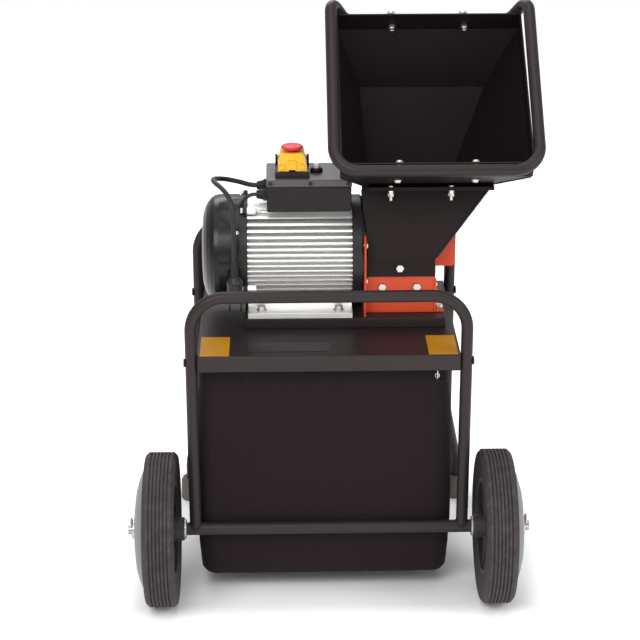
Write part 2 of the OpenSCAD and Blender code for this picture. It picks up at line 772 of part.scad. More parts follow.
module fan_cover() {
  r = fan_cover_d / 2;
  l = fan_cover_l;
  k = fan_cover_r;
  q = 1.6 * k;
  t = fan_cover_t;
  outer = [for (i = [0 : 6]) [r - q + q * sin(90 - i * 15), k - k * cos(90 - i * 15)]];
  inner = [for (i = [6 : -1 : 0]) [r - q + (q - t) * sin(90 - i * 15), k - (k - t) * cos(90 - i * 15)]];
  seat = rib_r + seat_gap;
  color([0.08, 0.08, 0.09]) place() difference() {
    turned(fan_cover_x0, concat([[0, 0]], [for (i = [6 : -1 : 0]) outer[i]], [[r, l], [seat, l], [seat,
      l - cover_seat],
      [r - t, l - cover_seat - 2]], [for (i = [6 : -1 : 0]) inner[i]], [[0, t]]));
    for (ring = [[12, 6], [24, 12], [36, 18]], i = [0 : ring[1] - 1])
      along_x(fan_cover_x0 - 1, shaft_y, shaft_z) rotate([0, 0, i * 360 / ring[1]])
        translate([ring[0], 0, 0])
        cylinder(r = 4, h = t + 2, $fn = 24);
  }
}

// Turning parts: one shaft carries the motor rotor, the fan and the cutter drum
module motor_shaft() {
  a = fan_cover_x0 + 14;
  b = drum_x1 + 13;
  color("silver") place() bar_x(shaft_r, a, b, shaft_y, shaft_z);
}

module motor_rotor() {
  l = stator_l - 2 * stack_in;
  color([0.55, 0.56, 0.58]) place() turned(stator_x0 + stack_in, [[shaft_r, 0], [rotor_r - 8, 0],
    [rotor_r - 8,
    -10], [rotor_r - 2, -10], [rotor_r, 0], [rotor_r, l], [rotor_r - 2, l + 10], [rotor_r - 8, l + 10],
    [rotor_r - 8, l], [shaft_r, l]]);
}

module cooling_fan() {
  hub = shaft_r + 8;
  w = 26;
  x = fan_x1 - 6 - w;
  r = fan_cover_d / 2 - fan_cover_t - 10;
  color([0.15, 0.15, 0.16]) place() difference() {
    union() {
      turned(x, [[shaft_r, 0], [hub, 0], [hub, w], [shaft_r, w]]);
      turned(x, [[hub - 1, w - 3], [r - 6, w - 3], [r - 6, w], [hub - 1, w]]);
      for (i = [0 : fan_blades - 1]) along_x(x, shaft_y, shaft_z) rotate([0, 0, i * 360 / fan_blades])
        translate([hub - 1, -1, 0]) cube([r - hub, 2, w]);
    }
    bar_x(shaft_r, x - 1, x + w + 1, shaft_y, shaft_z);
  }
}

module knife_turn(i) { translate([0, shaft_y, shaft_z]) rotate([20 + 180 * i, 0, 0]) children(); }

module cutter_rotor() {
  color([0.35, 0.35, 0.36]) place() difference() {
    bar_x(drum_r, drum_x0, drum_x1, shaft_y, shaft_z);
    for (i = [0, 1]) knife_turn(i) block([drum_x0 - 1, -drum_r - 10, knife_seat], [drum_x1 + 1,
      knife_back, drum_r + 5]);
    for (i = [0, 1]) knife_turn(i) translate([0, -drum_r * 0.72, knife_seat - 7])
      bar_x(9, drum_x0 - 1, drum_x1 + 1, -2, -2);
    bar_x(shaft_r, drum_x0 - 1, drum_x1 + 1, shaft_y, shaft_z);
    knife_bolt_holes(bolt_r - 1);
  }
}

module knife_bolt_holes(r) {
  for (i = [0, 1], sx = [-1, 1]) knife_turn(i) translate([(drum_x0 + drum_x1) / 2 + sx * 26, 2,
    knife_seat - 14])
    cylinder(r = r, h = 30);
}

// Two bevelled knives, each held by two bolts in its flat
module knives() {
  z = knife_seat;
  tip = knife_reach;
  color("silver") place() {
    for (i = [0, 1]) knife_turn(i) difference() {
      translate([drum_x1 - 1, 0, 0]) rotate([0, -90, 0]) linear_extrude(drum_l - 2) polygon([[z,
        knife_back - seat_gap],
        [z + knife_t, knife_back - seat_gap], [z + knife_t, -tip], [z, -tip + knife_t]]);
      for (sx = [-1, 1]) translate([(drum_x0 + drum_x1) / 2 + sx * 26, 2, z - 1])
        cylinder(r = bolt_r - 1, h = knife_t + 2);
    }
  }
}

module knife_bolts() {
  z = knife_seat;
  color([0.4, 0.4, 0.42]) place() for (i = [0, 1], sx = [-1, 1]) knife_turn(i)
    translate([(drum_x0 + drum_x1) / 2 + sx * 26, 2, 0]) {
      translate([0, 0, z - 14]) cylinder(r = bolt_r - 1, h = 15 + knife_t);
      translate([0, 0, z + knife_t]) cylinder(r = bolt_r + 2, h = 3);
    }
}

module rotor_nut() {
  color("silver") place() difference() {
    union() {
      bar_x(shaft_r + 5, drum_x1, drum_x1 + 2.5, shaft_y, shaft_z);
      hex_x(shaft_r + 5, drum_x1 + 2.5, drum_x1 + 11, shaft_y, shaft_z);
    }
    bar_x(shaft_r, drum_x1 - 1, drum_x1 + 12, shaft_y, shaft_z);
  }
}

// Cutter housing: front and rear walls between a tall motor plate and a plain side plate
module cutter_housing() {
  plate_y = ear + ear_edge;
  plate_z = base_z + motor_plate_h;
  color([0.85, 0.33, 0.17]) place() difference() {
    union() {
      translate([chamber_x0, shaft_y, 0]) rotate([90, 0, 90]) linear_extrude(chamber_t)
        polygon([[-plate_y, base_z],
        [plate_y, base_z], [plate_y, plate_z - 12], [plate_y - 12, plate_z], [-plate_y + 12, plate_z],
        [-plate_y, plate_z - 12]]);
      block([chamber_in1, chamber_y0, base_z], [chamber_x1, chamber_y1, chamber_z1]);
      block([chamber_in0 - 0.5, chamber_y0, base_z], [chamber_in1 + 0.5, chamber_y0 + chamber_t,
        chamber_z1]);
      block([chamber_in0 - 0.5, chamber_y1 - chamber_t, base_z], [chamber_in1 + 0.5, chamber_y1,
        chamber_z1]);
      block([chamber_x1 - 0.5, chamber_y0, base_z], [chamber_x1 + housing_foot, chamber_y1, base_z + chamber_t]);
    }
    bar_x(shaft_r + 6, chamber_x0 - 1, chamber_in0 + 1, shaft_y, shaft_z);
    block([chamber_in1 - 1, shaft_y - 22, shaft_z - 26], [chamber_x1 + 1, shaft_y + 22, chamber_z1 + 1]);
    for (sy = [-1, 1], sz = [-1, 1]) bar_x(hole_r, chamber_x0 - 1, chamber_in0 + 1, shaft_y + sy * ear,
      shaft_z + sz * ear_z);
    for (p = housing_holes()) translate([p[0], p[1], base_z - 1]) cylinder(r = hole_r, h = chamber_t + 2);
    for (s = [-1, 1]) bar_y(hole_r, chamber_y0 - 1, chamber_y0 + chamber_t + 1,
      chamber_mid + s * counter_bolt_gap / 2,
      shaft_z - counter_drop);
    for (y = [chamber_y0, chamber_y1 - chamber_t]) bar_y(hole_r, y - 1, y + chamber_t + 1, chamber_mid,
      funnel_bolt_z);
    for (s = [-1, 1]) bar_x(2.2, chamber_in1 - 1, chamber_x1 + 1, shaft_y + s * side_screw_y,
      shaft_z - side_screw_drop);
  }
}

// Bolts of the housing feet, the counter knife and the funnel's two flanges
module housing_bolts() {
  top = base_z + chamber_t;
  low = deck_z - deck_t;
  front = chamber_y0 - sheet_t;
  back = chamber_y1 + sheet_t;
  color("silver") place() {
    for (p = housing_holes()) translate([p[0], p[1], 0]) {
      translate([0, 0, top]) cylinder(r = head_r, h = head_h, $fn = 6);
      translate([0, 0, low - 9]) cylinder(r = bolt_r, h = top - low + 10);
      translate([0, 0, low - 6.5]) cylinder(r = head_r, h = 6.5, $fn = 6);
    }
    for (s = [-1, 1]) {
      x = chamber_mid + s * counter_bolt_gap / 2;
      bar_y(bolt_r, chamber_y0 - 1, chamber_y0 + chamber_t + counter_bolt_l, x, shaft_z - counter_drop);
      hex_y(head_r, chamber_y0 - head_h, chamber_y0, x, shaft_z - counter_drop);
    }
    bar_y(bolt_r, front - 1, chamber_y0 + chamber_t + 1, chamber_mid, funnel_bolt_z);
    hex_y(head_r, front - head_h, front, chamber_mid, funnel_bolt_z);
    bar_y(bolt_r, chamber_y1 - chamber_t - 1, back + 1, chamber_mid, funnel_bolt_z);
    hex_y(head_r, back, back + head_h, chamber_mid, funnel_bolt_z);
  }
}

// Pressed side cover over the rotor nut; its top follows the funnel's slope
module side_cover() {
  x0 = chamber_x1;
  x1 = chamber_x1 + side_cover_out;
  z0 = shaft_z - 21;
  za = chamber_z1 - 2;
  zb = za + side_cover_out * 1.2;
  w = 68;
  t = 2;
  color([0.88, 0.35, 0.16]) place() difference() {
    union() {
      difference() {
        translate([0, shaft_y + w / 2, 0]) rotate([90, 0, 0]) linear_extrude(w)
          polygon([[x0, z0], [x1 - 5, z0], [x1, z0 + 5], [x1, zb], [x0, za]]);
        translate([0, shaft_y + w / 2 - t, 0]) rotate([90, 0, 0]) linear_extrude(w - 2 * t)
          polygon([[x0 - 1, z0 + t], [x1 - 6, z0 + t], [x1 - t, z0 + 6], [x1 - t, zb - 2 * t], [x0 - 1,
            za - 2 * t]]);
      }
      for (s = [-1, 1]) bar_x(4.5, x0, x1 - t / 2, shaft_y + s * side_screw_y, shaft_z - side_screw_drop);
    }
    for (s = [-1, 1]) bar_x(2.2, x0 - 1, x1 + 1, shaft_y + s * side_screw_y, shaft_z - side_screw_drop);
  }
}

module counter_knife() {
  y0 = chamber_y0 + chamber_t;
  z0 = shaft_z - counter_drop - counter_h / 2;
  color("silver") place() difference() {
    translate([chamber_in0 + 4, 0, 0]) rotate([90, 0, 90]) linear_extrude(chamber_w - 8) polygon([[y0, z0],
      [counter_tip - 4, z0], [counter_tip, z0 + counter_h], [y0, z0 + counter_h]]);
    for (s = [-1, 1]) bar_y(bolt_r, y0 - 1, y0 + counter_bolt_l, chamber_mid + s * counter_bolt_gap / 2,
      shaft_z - counter_drop);
  }
}

// Lower funnel: four walls from the cutter housing up to the tilted joint flange
function joint_at(x, y, z) = [joint_x + x, joint_y + y * hopper_c - z * hopper_s,
  joint_z + y * hopper_s + z * hopper_c];
lip = joint_at(-joint_w / 2, -joint_l / 2, 0);
module at_joint() { translate([hopper_x, joint_y, joint_z]) rotate([hopper_tilt, 0, 0]) children(); }

module loft(inset, low, high) {
  w = joint_w / 2 - inset;
  l = joint_l / 2 - inset;
  x0 = funnel_x0 + inset;
  x1 = chamber_x1 - inset;
  y0 = chamber_y0 - sheet_t + inset;
  y1 = chamber_y1 + sheet_t - inset;
  polyhedron([[x0, y0, low], [x1, y0, low], [x1, y1, low], [x0, y1, low], joint_at(-w, -l, high),
    joint_at(w, -l, high),
    joint_at(w, l, high), joint_at(-w, l, high)], [[0, 1, 2, 3], [7, 6, 5, 4], [0, 4, 5, 1], [2, 6, 7, 3],
    [1, 5, 2], [5, 6, 2], [3, 7, 0], [7, 4, 0]]);
}

module ring_plate(w, l, w_in, l_in, z0, z1) {
  difference() {
    translate([-w / 2, -l / 2, z0]) cube([w, l, z1 - z0]);
    translate([-w_in / 2, -l_in / 2, z0 - 1]) cube([w_in, l_in, z1 - z0 + 2]);
  }
}

// Level strip in front of the joint and a tilted strip behind it, both bolted
module joint_strips(z0, z1) {
  w = joint_w / 2;
  l = joint_l / 2;
  difference() {
    block([lip[0] + 11, lip[1] - flange_w, lip[2] + z0], [lip[0] + joint_w, lip[1], lip[2] + z1]);
    for (s = [-1, 1]) translate([front_bolt_x + s * joint_bolt_gap / 2, lip[1] - bolt_out, lip[2] + z0 - 1])
      cylinder(r = joint_bolt_r + 0.2, h = z1 - z0 + 2);
  }
  at_joint() difference() {
    block([-joint_shift - w, l - 1.5, z0], [-joint_shift + w, l + flange_w, z1]);
    for (s = [-1, 1]) translate([s * joint_bolt_gap / 2 - joint_shift, l + bolt_out, z0 - 1])
      cylinder(r = joint_bolt_r + 0.2, h = z1 - z0 + 2);
  }
}

module lower_funnel() {
  top = -seat_gap;
  color([0.17, 0.15, 0.16]) place() difference() {
    union() {
      difference() {
        loft(0, funnel_z0, top);
        loft(sheet_t, funnel_z0 - 0.02, top + 0.02);
      }
      joint_strips(-strip_gap - sheet_t, -strip_gap);
      block([chamber_in0 + seat_gap, chamber_y0 - sheet_t, funnel_z0], [funnel_x0 + 1, chamber_y1 + sheet_t,
        funnel_z0 + sheet_t]);
      for (y = [chamber_y0 - sheet_t, chamber_y1])
        block([chamber_in0 + 1, y, chamber_z1 - funnel_lap], [chamber_x1 - 1, y + sheet_t, funnel_z0 + 0.5]);
    }
    for (y = [chamber_y0 - sheet_t, chamber_y1]) bar_y(hole_r, y - 1, y + sheet_t + 1, chamber_mid,
      funnel_bolt_z);
    bar_x(shaft_r + 3, chamber_in0, drum_x0, shaft_y, shaft_z);
  }
}

// Hopper: strips, four sloping walls and a straight collar at the mouth
module frustum(inset) {
  a = [joint_w / 2 - inset, joint_l / 2 - inset];
  b = [mouth_w / 2 - inset, mouth_l / 2 - inset];
  d = -joint_shift;
  polyhedron([[d - a[0], -a[1], 0], [d + a[0], -a[1], 0], [d + a[0], a[1], 0], [d - a[0], a[1], 0],
    [-b[0], -b[1], taper_h], [b[0], -b[1], taper_h], [b[0], b[1], taper_h], [-b[0], b[1], taper_h]],
    [[0, 1, 2, 3], [7, 6, 5, 4], [0, 4, 5, 1], [1, 5, 6, 2], [2, 6, 7, 3], [3, 7, 4, 0]]);
}

// The collar's front corners are notched where the rail bends round them
module hopper() {
  s = 2 * sheet_t;
  color([0.16, 0.14, 0.15]) place() difference() {
    union() {
      joint_strips(0, sheet_t);
      at_joint() difference() {
        frustum(0);
        frustum(sheet_t);
      }
      at_joint() ring_plate(mouth_w, mouth_l, mouth_w - s, mouth_l - s, taper_h, mouth_h);
    }
    at_joint() rail_bolt_holes(hole_r);
    at_joint() for (i = [0, 1]) tube_bend(rail_points()[i], rail_way(i), rail_way(i + 1), tube_r + 0.25,
      tube_r + 1, rail_bend);
    at_joint() at_guard_bolts() translate([0, 0, -8]) cylinder(r = bolt_r - 0.8, h = 18);
  }
}

// Points of the hand rail, round from its low front corners
function rail_points() = let (x = mouth_w / 2 + rail_out, y0 = -mouth_l / 2 - rail_out,
    y1 = mouth_l / 2 + rail_out, low = mouth_h - rail_low, top = mouth_h + rail_rise,
    back = mouth_h - rail_back_low)
  [[-x, y0, low], [x, y0, low], [x, y1, top], [x - rail_in, y1, back], [-x + rail_in, y1, back],
    [-x, y1, top]];
function rail_way(i) = unit(rail_points()[i] - rail_points()[(i + 5) % 6]);

// Two round-headed bolts in the sloping front wall
module at_guard_bolts() {
  y = -joint_l / 2 - guard_at * (mouth_l - joint_l) / 2;
  for (s = [-1, 1]) translate([s * guard_gap / 2 + guard_shift, y, guard_at * taper_h])
    rotate([guard_lean, 0, 0]) children();
}

module rail_bolt_holes(r) {
  y = mouth_l / 2 + tube_d;
  for (s = [-1, 1]) {
    bar_y(r, -mouth_l / 2 - rail_out, -mouth_l / 2 + 20, s * rail_bolt_gap / 2, mouth_h - rail_low);
    bar_y(r, mouth_l / 2 - 20, y + 5, s * rail_bolt_gap / 2, mouth_h - rail_back_low);
  }
}

// Bolts of the joint, of the hand rail and in the front wall
module joint_bolt() {
  below = sheet_t + strip_gap;
  translate([0, 0, sheet_t]) cylinder(r = joint_head_r, h = joint_head_h, $fn = 6);
  translate([0, 0, -below - 2 * nut_h - 7]) cylinder(r = joint_bolt_r, h = below + 2 * nut_h + 8 + sheet_t);
  translate([0, 0, -below - nut_h]) cylinder(r = joint_head_r, h = nut_h, $fn = 6);
  translate([0, 0, -below - 2 * nut_h]) rotate([0, 0, 20]) cylinder(r = joint_head_r, h = nut_h, $fn = 6);
}

module hopper_bolts() {
  out = mouth_l / 2 + rail_out + tube_r;
  in = mouth_l / 2 - sheet_t;
  color("silver") place() {
    for (s = [-1, 1]) translate([front_bolt_x + s * joint_bolt_gap / 2, lip[1] - bolt_out, lip[2]]) joint_bolt();
    at_joint() for (s = [-1, 1]) {
      x = s * rail_bolt_gap / 2;
      translate([s * joint_bolt_gap / 2 - joint_shift, joint_l / 2 + bolt_out, 0]) joint_bolt();
      bar_y(bolt_r, -mouth_l / 2 - rail_out, -in + 1, x, mouth_h - rail_low);
      bar_y(head_r, -in, -in + 4, x, mouth_h - rail_low);
      bar_y(bolt_r, in - 12, out + 1, x, mouth_h - rail_back_low);
      bar_y(head_r, out, out + head_h, x, mouth_h - rail_back_low);
      hex_y(head_r, in - 6.5, in, x, mouth_h - rail_back_low);
    }
    at_joint() at_guard_bolts() {
      translate([0, 0, -7]) cylinder(r = bolt_r - 1, h = 9);
      cylinder(r1 = head_r, r2 = head_r - 2.5, h = 4.5);
    }
  }
}

// Hand rail: one closed tube ring, low at the front lip, high at its top corners
module hopper_rail() {
  color([0.2, 0.18, 0.19]) place() at_joint() difference() {
    tube_run(rail_points(), tube_r, tube_wall, [rail_bend, rail_bend, rail_top_bend, rail_top_bend, rail_top_bend,
      rail_top_bend], true);
    rail_bolt_holes(hole_r);
  }
}

// Switch box on the motor's top pad
module switch_box() {
  color([0.13, 0.13, 0.14]) place() difference() {
    block([box_x0, box_y0, box_z0], [box_x1, box_y1, box_z1]);
    block([box_x0 + box_t, box_y0 + box_t, box_z0 + box_t], [box_x1 - box_t, box_y1 - box_t, box_z1 + 1]);
    for (i = [0, 1]) bar_x(7, box_x0 - 1, box_x0 + box_t + 1, gland_y[i], gland_z);
  }
}

module box_lid() {
  o = lid_over;
  color([0.13, 0.13, 0.14]) place() difference() {
    block([box_x0 - o, box_y0 - o, box_z1], [box_x1 + o, box_y1 + o, lid_z1]);
    block([box_x0 + box_t, box_y0 + box_t, box_z1 - 1], [box_x1 - box_t, box_y1 - box_t, lid_z1 - box_t]);
    block([switch_x - 20, switch_y - 20, lid_z1 - box_t - 1], [switch_x + 20, switch_y + 20, lid_z1 + 1]);
    translate([reset_x, reset_y, lid_z1 - box_t - 1]) cylinder(r = 8, h = box_t + 2);
  }
}

// Switch: base with two cheeks, hinged flap that carries the stop mushroom, two buttons below it
module switch_base() {
  half = flap_w / 2 + run_gap + cheek_t;
  y0 = switch_y - flap_l / 2 - 3;
  y1 = pin_y + 6;
  color([0.12, 0.12, 0.13]) place() difference() {
    union() {
      block([switch_x - half, y0, lid_z1], [switch_x + half, y1, lid_z1 + switch_h]);
      block([switch_x - 20 + seat_gap, switch_y - 20 + seat_gap, lid_z1 - 22],
        [switch_x + 20 - seat_gap, switch_y + 20 - seat_gap, lid_z1 + 1]);
      for (s = [-1, 1]) translate([switch_x + s * (half - cheek_t / 2) - cheek_t / 2, 0, 0]) {
        bar_x(6, 0, cheek_t, pin_y, pin_z);
        block([0, pin_y - 6, lid_z1 + switch_h - 1], [cheek_t, pin_y + 6, pin_z]);
      }
      bar_x(pin_r, switch_x - half, switch_x + half, pin_y, pin_z);
    }
    for (s = [-1, 1]) translate([switch_x + s * button_gap / 2, switch_y, button_floor])
      cylinder(r = button_r + fit_gap, h = 30);
  }
}

module flap_form(w, y0, y1, z1, low) {
  intersection() {
    translate([switch_x - w, 0, 0]) rotate([90, 0, 90]) linear_extrude(2 * w) polygon([[y0, low],
      [y1, low], [y1, z1], [y0 + 6, z1], [y0, z1 - 8]]);
    translate([switch_x, y1 + 1, 0]) rotate([90, 0, 0]) linear_extrude(y1 - y0 + 2) polygon([[-w, low],
      [w, low], [w, flap_z0 + 9], [w - flap_lean, z1 - 3], [w - flap_lean - 3, z1], [flap_lean + 3 - w, z1],
      [flap_lean - w, z1 - 3], [-w, flap_z0 + 9]]);
  }
}

module switch_flap() {
  y0 = switch_y - flap_l / 2;
  z1 = flap_z0 + flap_h;
  w = flap_w / 2;
  t = flap_t;
  knuckle = 4;
  color([0.93, 0.72, 0.08]) place() difference() {
    union() {
      difference() {
        flap_form(w, y0, flap_back, z1, flap_z0);
        flap_form(w - t, y0 + t, flap_back - t, z1 - t, flap_z0 - 1);
        block([switch_x - 5, y0 - 1, flap_z0 - 1], [switch_x + 5, y0 + t + 1, flap_z0 + 5]);
      }
      for (x = [-13, -7, 7, 13]) block([switch_x + x - 1, y0 - 1.2, flap_z0 + 1], [switch_x + x + 1, y0 + 1,
        flap_z0 + 14]);
      bar_x(knuckle, switch_x - w, switch_x + w, pin_y, pin_z);
      block([switch_x - w, flap_back - t, pin_z - 2.5], [switch_x + w, pin_y, pin_z + 2.5]);
    }
    bar_x(pin_r + fit_gap, switch_x - w - 1, switch_x + w + 1, pin_y, pin_z);
  }
}

module stop_mushroom() {
  z = flap_z0 + flap_h;
  r = mushroom_d / 2;
  color([0.84, 0.16, 0.2]) place() translate([switch_x, switch_y, z]) rotate_extrude() polygon([[0, 0],
    [9, 0], [9, 4], [r - 1.5, 4], [r, 5.2], [r, 6.6], [r - 2.5, 8.6], [r - 8, 9.8], [0, 10.2]]);
}

// Start and stop buttons under the flap; both rest proud by more than their travel
module button(side) {
  translate([switch_x + side * button_gap / 2, switch_y, button_floor + press + run_gap])
    rotate_extrude() polygon([[0, 0], [button_r, 0], [button_r, 8.5], [button_r - 1, 9.5], [0, 9.5]]);
}
module start_button() { color([0.15, 0.5, 0.25]) place() button(-1); }
module stop_button() { color([0.8, 0.15, 0.18]) place() button(1); }

module reset_bezel() {
  color([0.15, 0.15, 0.16]) place() translate([reset_x, reset_y, lid_z1]) difference() {
    union() {
      translate([0, 0, -box_t - 6]) cylinder(r = 8 - seat_gap, h = box_t + 7);
      rotate_extrude() polygon([[0, 0], [10, 0], [10, 4], [8, 7], [0, 7]]);
    }
    translate([0, 0, -box_t - 4]) cylinder(r = reset_r + fit_gap, h = 30);
  }
}

module reset_button() {
  color([0.75, 0.75, 0.72]) place() translate([reset_x, reset_y, lid_z1 - box_t - 4 + press + run_gap])
    rotate_extrude() polygon([[0, 0], [reset_r, 0], [reset_r, 15], [reset_r - 1.5, 17.5], [0, 18]]);
}

// Cable glands: a hexagon, a domed nut and the bore for each lead
module cable_glands() {
  color([0.1, 0.1, 0.11]) place() for (i = [0, 1]) difference() {
    union() {
      hex_x(11, box_x0 - 6, box_x0, gland_y[i], gland_z);
      along_x(box_x0 - gland_l, gland_y[i], gland_z) cylinder(r1 = 6.5, r2 = 9, h = gland_l - 5.5);
      bar_x(7 - seat_gap, box_x0 - 1, box_x0 + box_t + 5, gland_y[i], gland_z);
    }
    bar_x(lead_r[i] + seat_gap, box_x0 - gland_l - 1, box_x0 + box_t + 6, gland_y[i], gland_z);
  }
}

lead_in = 6;
module motor_lead() {
  x = box_x0 - gland_l - 2;
  z = gland_z - lead_bend;
  color([0.09, 0.09, 0.1]) place() {
    bar_x(lead_r[0], x, box_x0 + box_t, gland_y[0], gland_z);
    translate([x, gland_y[0], z]) rotate([90, 0, 0]) rotate([0, 0, 90]) rotate_extrude(angle = 90)
      translate([lead_bend, 0]) circle(lead_r[0]);
    translate([lead_end_x, gland_y[0], z - lead_in]) cylinder(r = lead_r[0], h = lead_in);
  }
}

// Mains lead: a smooth tube through its hand-set points
function spline(p, i, t) = let (
    a = p[max(i - 1, 0)], b = p[i], c = p[i + 1], d = p[min(i + 2, len(p) - 1)])
  0.5 * (2 * b + (c - a) * t + (2 * a - 5 * b + 4 * c - d) * t * t + (3 * b - a - 3 * c + d) * t * t * t);

module mains_lead() {
  steps = 5;
  sides = 10;
  n = len(lead_points);
  turn = 360 / sides;
  path = concat([for (i = [0 : n - 2], k = [0 : steps - 1]) spline(lead_points, i, k / steps)],
    [lead_points[n - 1]]);
  m = len(path);
  points = [for (i = [0 : m - 1]) let (
      d = unit(path[min(i + 1, m - 1)] - path[max(i - 1, 0)]),
      u = unit(cross([-0.5, 0.1, 0.9], d)),
      v = cross(d, u)) each [for (k = [0 : sides - 1])
        path[i] + lead_r[1] * (cos(k * turn) * u + sin(k * turn) * v)]];
  walls = [for (i = [0 : m - 2], k = [0 : sides - 1]) let (a = i * sides + k,
    b = i * sides + (k + 1) % sides)
      each [[a, b, b + sides], [a, b + sides, a + sides]]];
  first = [for (k = [1 : sides - 2]) [0, k + 1, k]];
  last = [for (k = [1 : sides - 2]) [(m - 1) * sides, (m - 1) * sides + k, (m - 1) * sides + k + 1]];
  color([0.09, 0.09, 0.1]) place() polyhedron(points, [for (f = concat(walls, first, last)) [f[2], f[1],
    f[0]]]);
}

module mains_plug() {
  low = plug_z - relief_l - plug_l;
  color([0.08, 0.08, 0.09]) place() translate([plug_x, plug_y, 0]) difference() {
    translate([0, 0, low]) rotate_extrude() polygon([[0, 0], [plug_r - 1, 0], [plug_r, 1], [plug_r,
      plug_l - 8],
      [8, plug_l], [6.4, plug_l], [lead_r[1] + 1.4, plug_l + relief_l], [0, plug_l + relief_l]]);
    translate([0, 0, plug_z - 7]) cylinder(r = lead_r[1] + seat_gap, h = 20);
  }
  color("silver") place() for (s = [-1, 1])
    translate([plug_x + s * pin_gap / 2, plug_y, low - plug_pin_l]) cylinder(r = plug_pin_r, h = plug_pin_l + 1);
}

// Sack: cloth walls that bulge below a stiff rim, with a closed bottom
function sack_ring(grow, z) = let (x = sack_w / 2 + grow, y = sack_l / 2 + grow / 2,
  r = max(sack_corner + grow, 6))
  [for (q = [0 : 3], k = [0 : 5]) let (a = q * 90 + k * 18)
    [(q == 0 || q == 3 ? 1 : -1) * (x - r) + r * cos(a), sack_y + (q < 2 ? 1 : -1) * (y - r) + r * sin(a),
      z]];
sack_heights = [[0, 1], [0, 0.93], [0.5, 0.72], [0.95, 0.45], [1, 0.28], [1, 0.1], [0.85, 0.02],
  [0.3, 0]];

module sack() {
  n = 24;
  m = len(sack_heights);
  outer = [for (s = sack_heights) sack_ring(s[0] * sack_bulge, sack_z0 + s[1] * sack_h)];
  inner = [for (i = [m - 1 : -1 : 0]) let (s = sack_heights[i])
    sack_ring(s[0] * sack_bulge - sack_t, i == 0 ? sack_z1 : sack_z0 + sack_t + s[1] * (sack_h - sack_t))];
  rings = concat(outer, inner);
  points = [for (ring = rings) each ring];
  k = len(rings);
  walls = [for (i = [0 : k - 1], j = [0 : n - 1]) let (a = i * n, b = ((i + 1) % k) * n, e = (j + 1) % n)
    if (i != m - 1) each [[a + j, a + e, b + e], [a + j, b + e, b + j]]];
  under = [for (j = [1 : n - 2]) [(m - 1) * n, (m - 1) * n + j, (m - 1) * n + j + 1]];
  floor = [for (j = [1 : n - 2]) [m * n, m * n + j + 1, m * n + j]];
  color([0.2, 0.19, 0.2]) place() polyhedron(points, concat(walls, under, floor));
}

module sack_rim() {
  p = [[-rim_x, sack_y - rim_y, rim_z], [rim_x, sack_y - rim_y, rim_z], [rim_x, sack_y + rim_y, rim_z],
    [-rim_x, sack_y + rim_y, rim_z]];
  r = sack_corner - sack_t - wire_r;
  color("silver") place() tube_run(p, wire_r, wire_r, [r, r, r, r], true);
}

// Each hook hangs from the deck and turns out under the rim
module sack_hooks() {
  y = rim_y - wire_r - run_gap;
  low = rim_z - wire_r - hook_t;
  color([0.17, 0.15, 0.16]) place() for (x = [-hook_x, hook_x], s = [-1, 1]) translate([x - hook_w / 2,
    sack_y, 0])
    mirror([0, s < 0 ? 1 : 0, 0]) {
      block([0, y - hook_t, low], [hook_w, y, deck_z - deck_t]);
      block([0, y - hook_t, low], [hook_w, y + rim_wire, low + hook_t]);
    }
}

front_frame();
rear_frame();
axle_tube();
axle();
axle_washers();
axle_clips();
left_foot();
right_foot();
deck();
deck_bolts();
motor_base();
sign_plates();
name_plate();
left_tyre();
left_wheel_hub();
left_wheel_cover();
left_wheel_bush();
right_tyre();
right_wheel_hub();
right_wheel_cover();
right_wheel_bush();
motor_housing();
motor_foot_bolts();
stator_core();
drive_end_shield();
fan_end_shield();
shield_bolts();
motor_bearings();
fan_cover();
motor_shaft();
motor_rotor();
cooling_fan();
cutter_housing();
housing_bolts();
side_cover();
cutter_rotor();
knives();
knife_bolts();
rotor_nut();
counter_knife();
lower_funnel();
hopper();
hopper_bolts();
hopper_rail();
switch_box();
box_lid();
switch_base();
switch_flap();
stop_mushroom();
start_button();
stop_button();
reset_bezel();
reset_button();
cable_glands();
motor_lead();
mains_lead();
mains_plug();
sack();
sack_rim();
sack_hooks();
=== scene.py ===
import json
import math

import bmesh
import bpy
from mathutils import Matrix, Vector, noise


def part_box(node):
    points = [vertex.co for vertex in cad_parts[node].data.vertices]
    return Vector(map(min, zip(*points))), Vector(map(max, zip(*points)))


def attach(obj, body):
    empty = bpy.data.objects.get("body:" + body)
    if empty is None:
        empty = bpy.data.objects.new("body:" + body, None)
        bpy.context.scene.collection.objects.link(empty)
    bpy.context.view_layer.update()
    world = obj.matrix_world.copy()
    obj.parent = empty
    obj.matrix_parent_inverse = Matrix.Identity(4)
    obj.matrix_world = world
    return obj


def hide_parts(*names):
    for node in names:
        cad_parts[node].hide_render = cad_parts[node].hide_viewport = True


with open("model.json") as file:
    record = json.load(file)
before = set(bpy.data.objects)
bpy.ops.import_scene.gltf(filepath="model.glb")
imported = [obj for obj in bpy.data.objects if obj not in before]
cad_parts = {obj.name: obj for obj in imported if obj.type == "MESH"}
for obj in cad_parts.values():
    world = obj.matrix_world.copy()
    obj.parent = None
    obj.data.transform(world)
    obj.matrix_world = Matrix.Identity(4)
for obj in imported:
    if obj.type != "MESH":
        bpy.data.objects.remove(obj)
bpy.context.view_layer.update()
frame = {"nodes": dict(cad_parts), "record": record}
nodes = frame["nodes"]
scene = bpy.context.scene
mm = 0.001
print("frame loaded:", len(nodes), "nodes")


# machine axes start at the middle of the axle, on the floor
def middle(node):
    low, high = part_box(node)
    return (low + high) / 2


machineZero = Vector((middle("front_frame").x, middle("axle").y, 0))


def spot(x, y, z):
    return machineZero + Vector((x, y, z)) * mm


# camera, as the photograph was taken
cameraView = {"at": (-71.5, -2675, 1528.2), "pitch": 21.27, "yaw": 1.23, "roll": -0.07, "focalPixels": 1847,
              "frame": 640, "sensor": 36, "clip": (0.1, 60)}


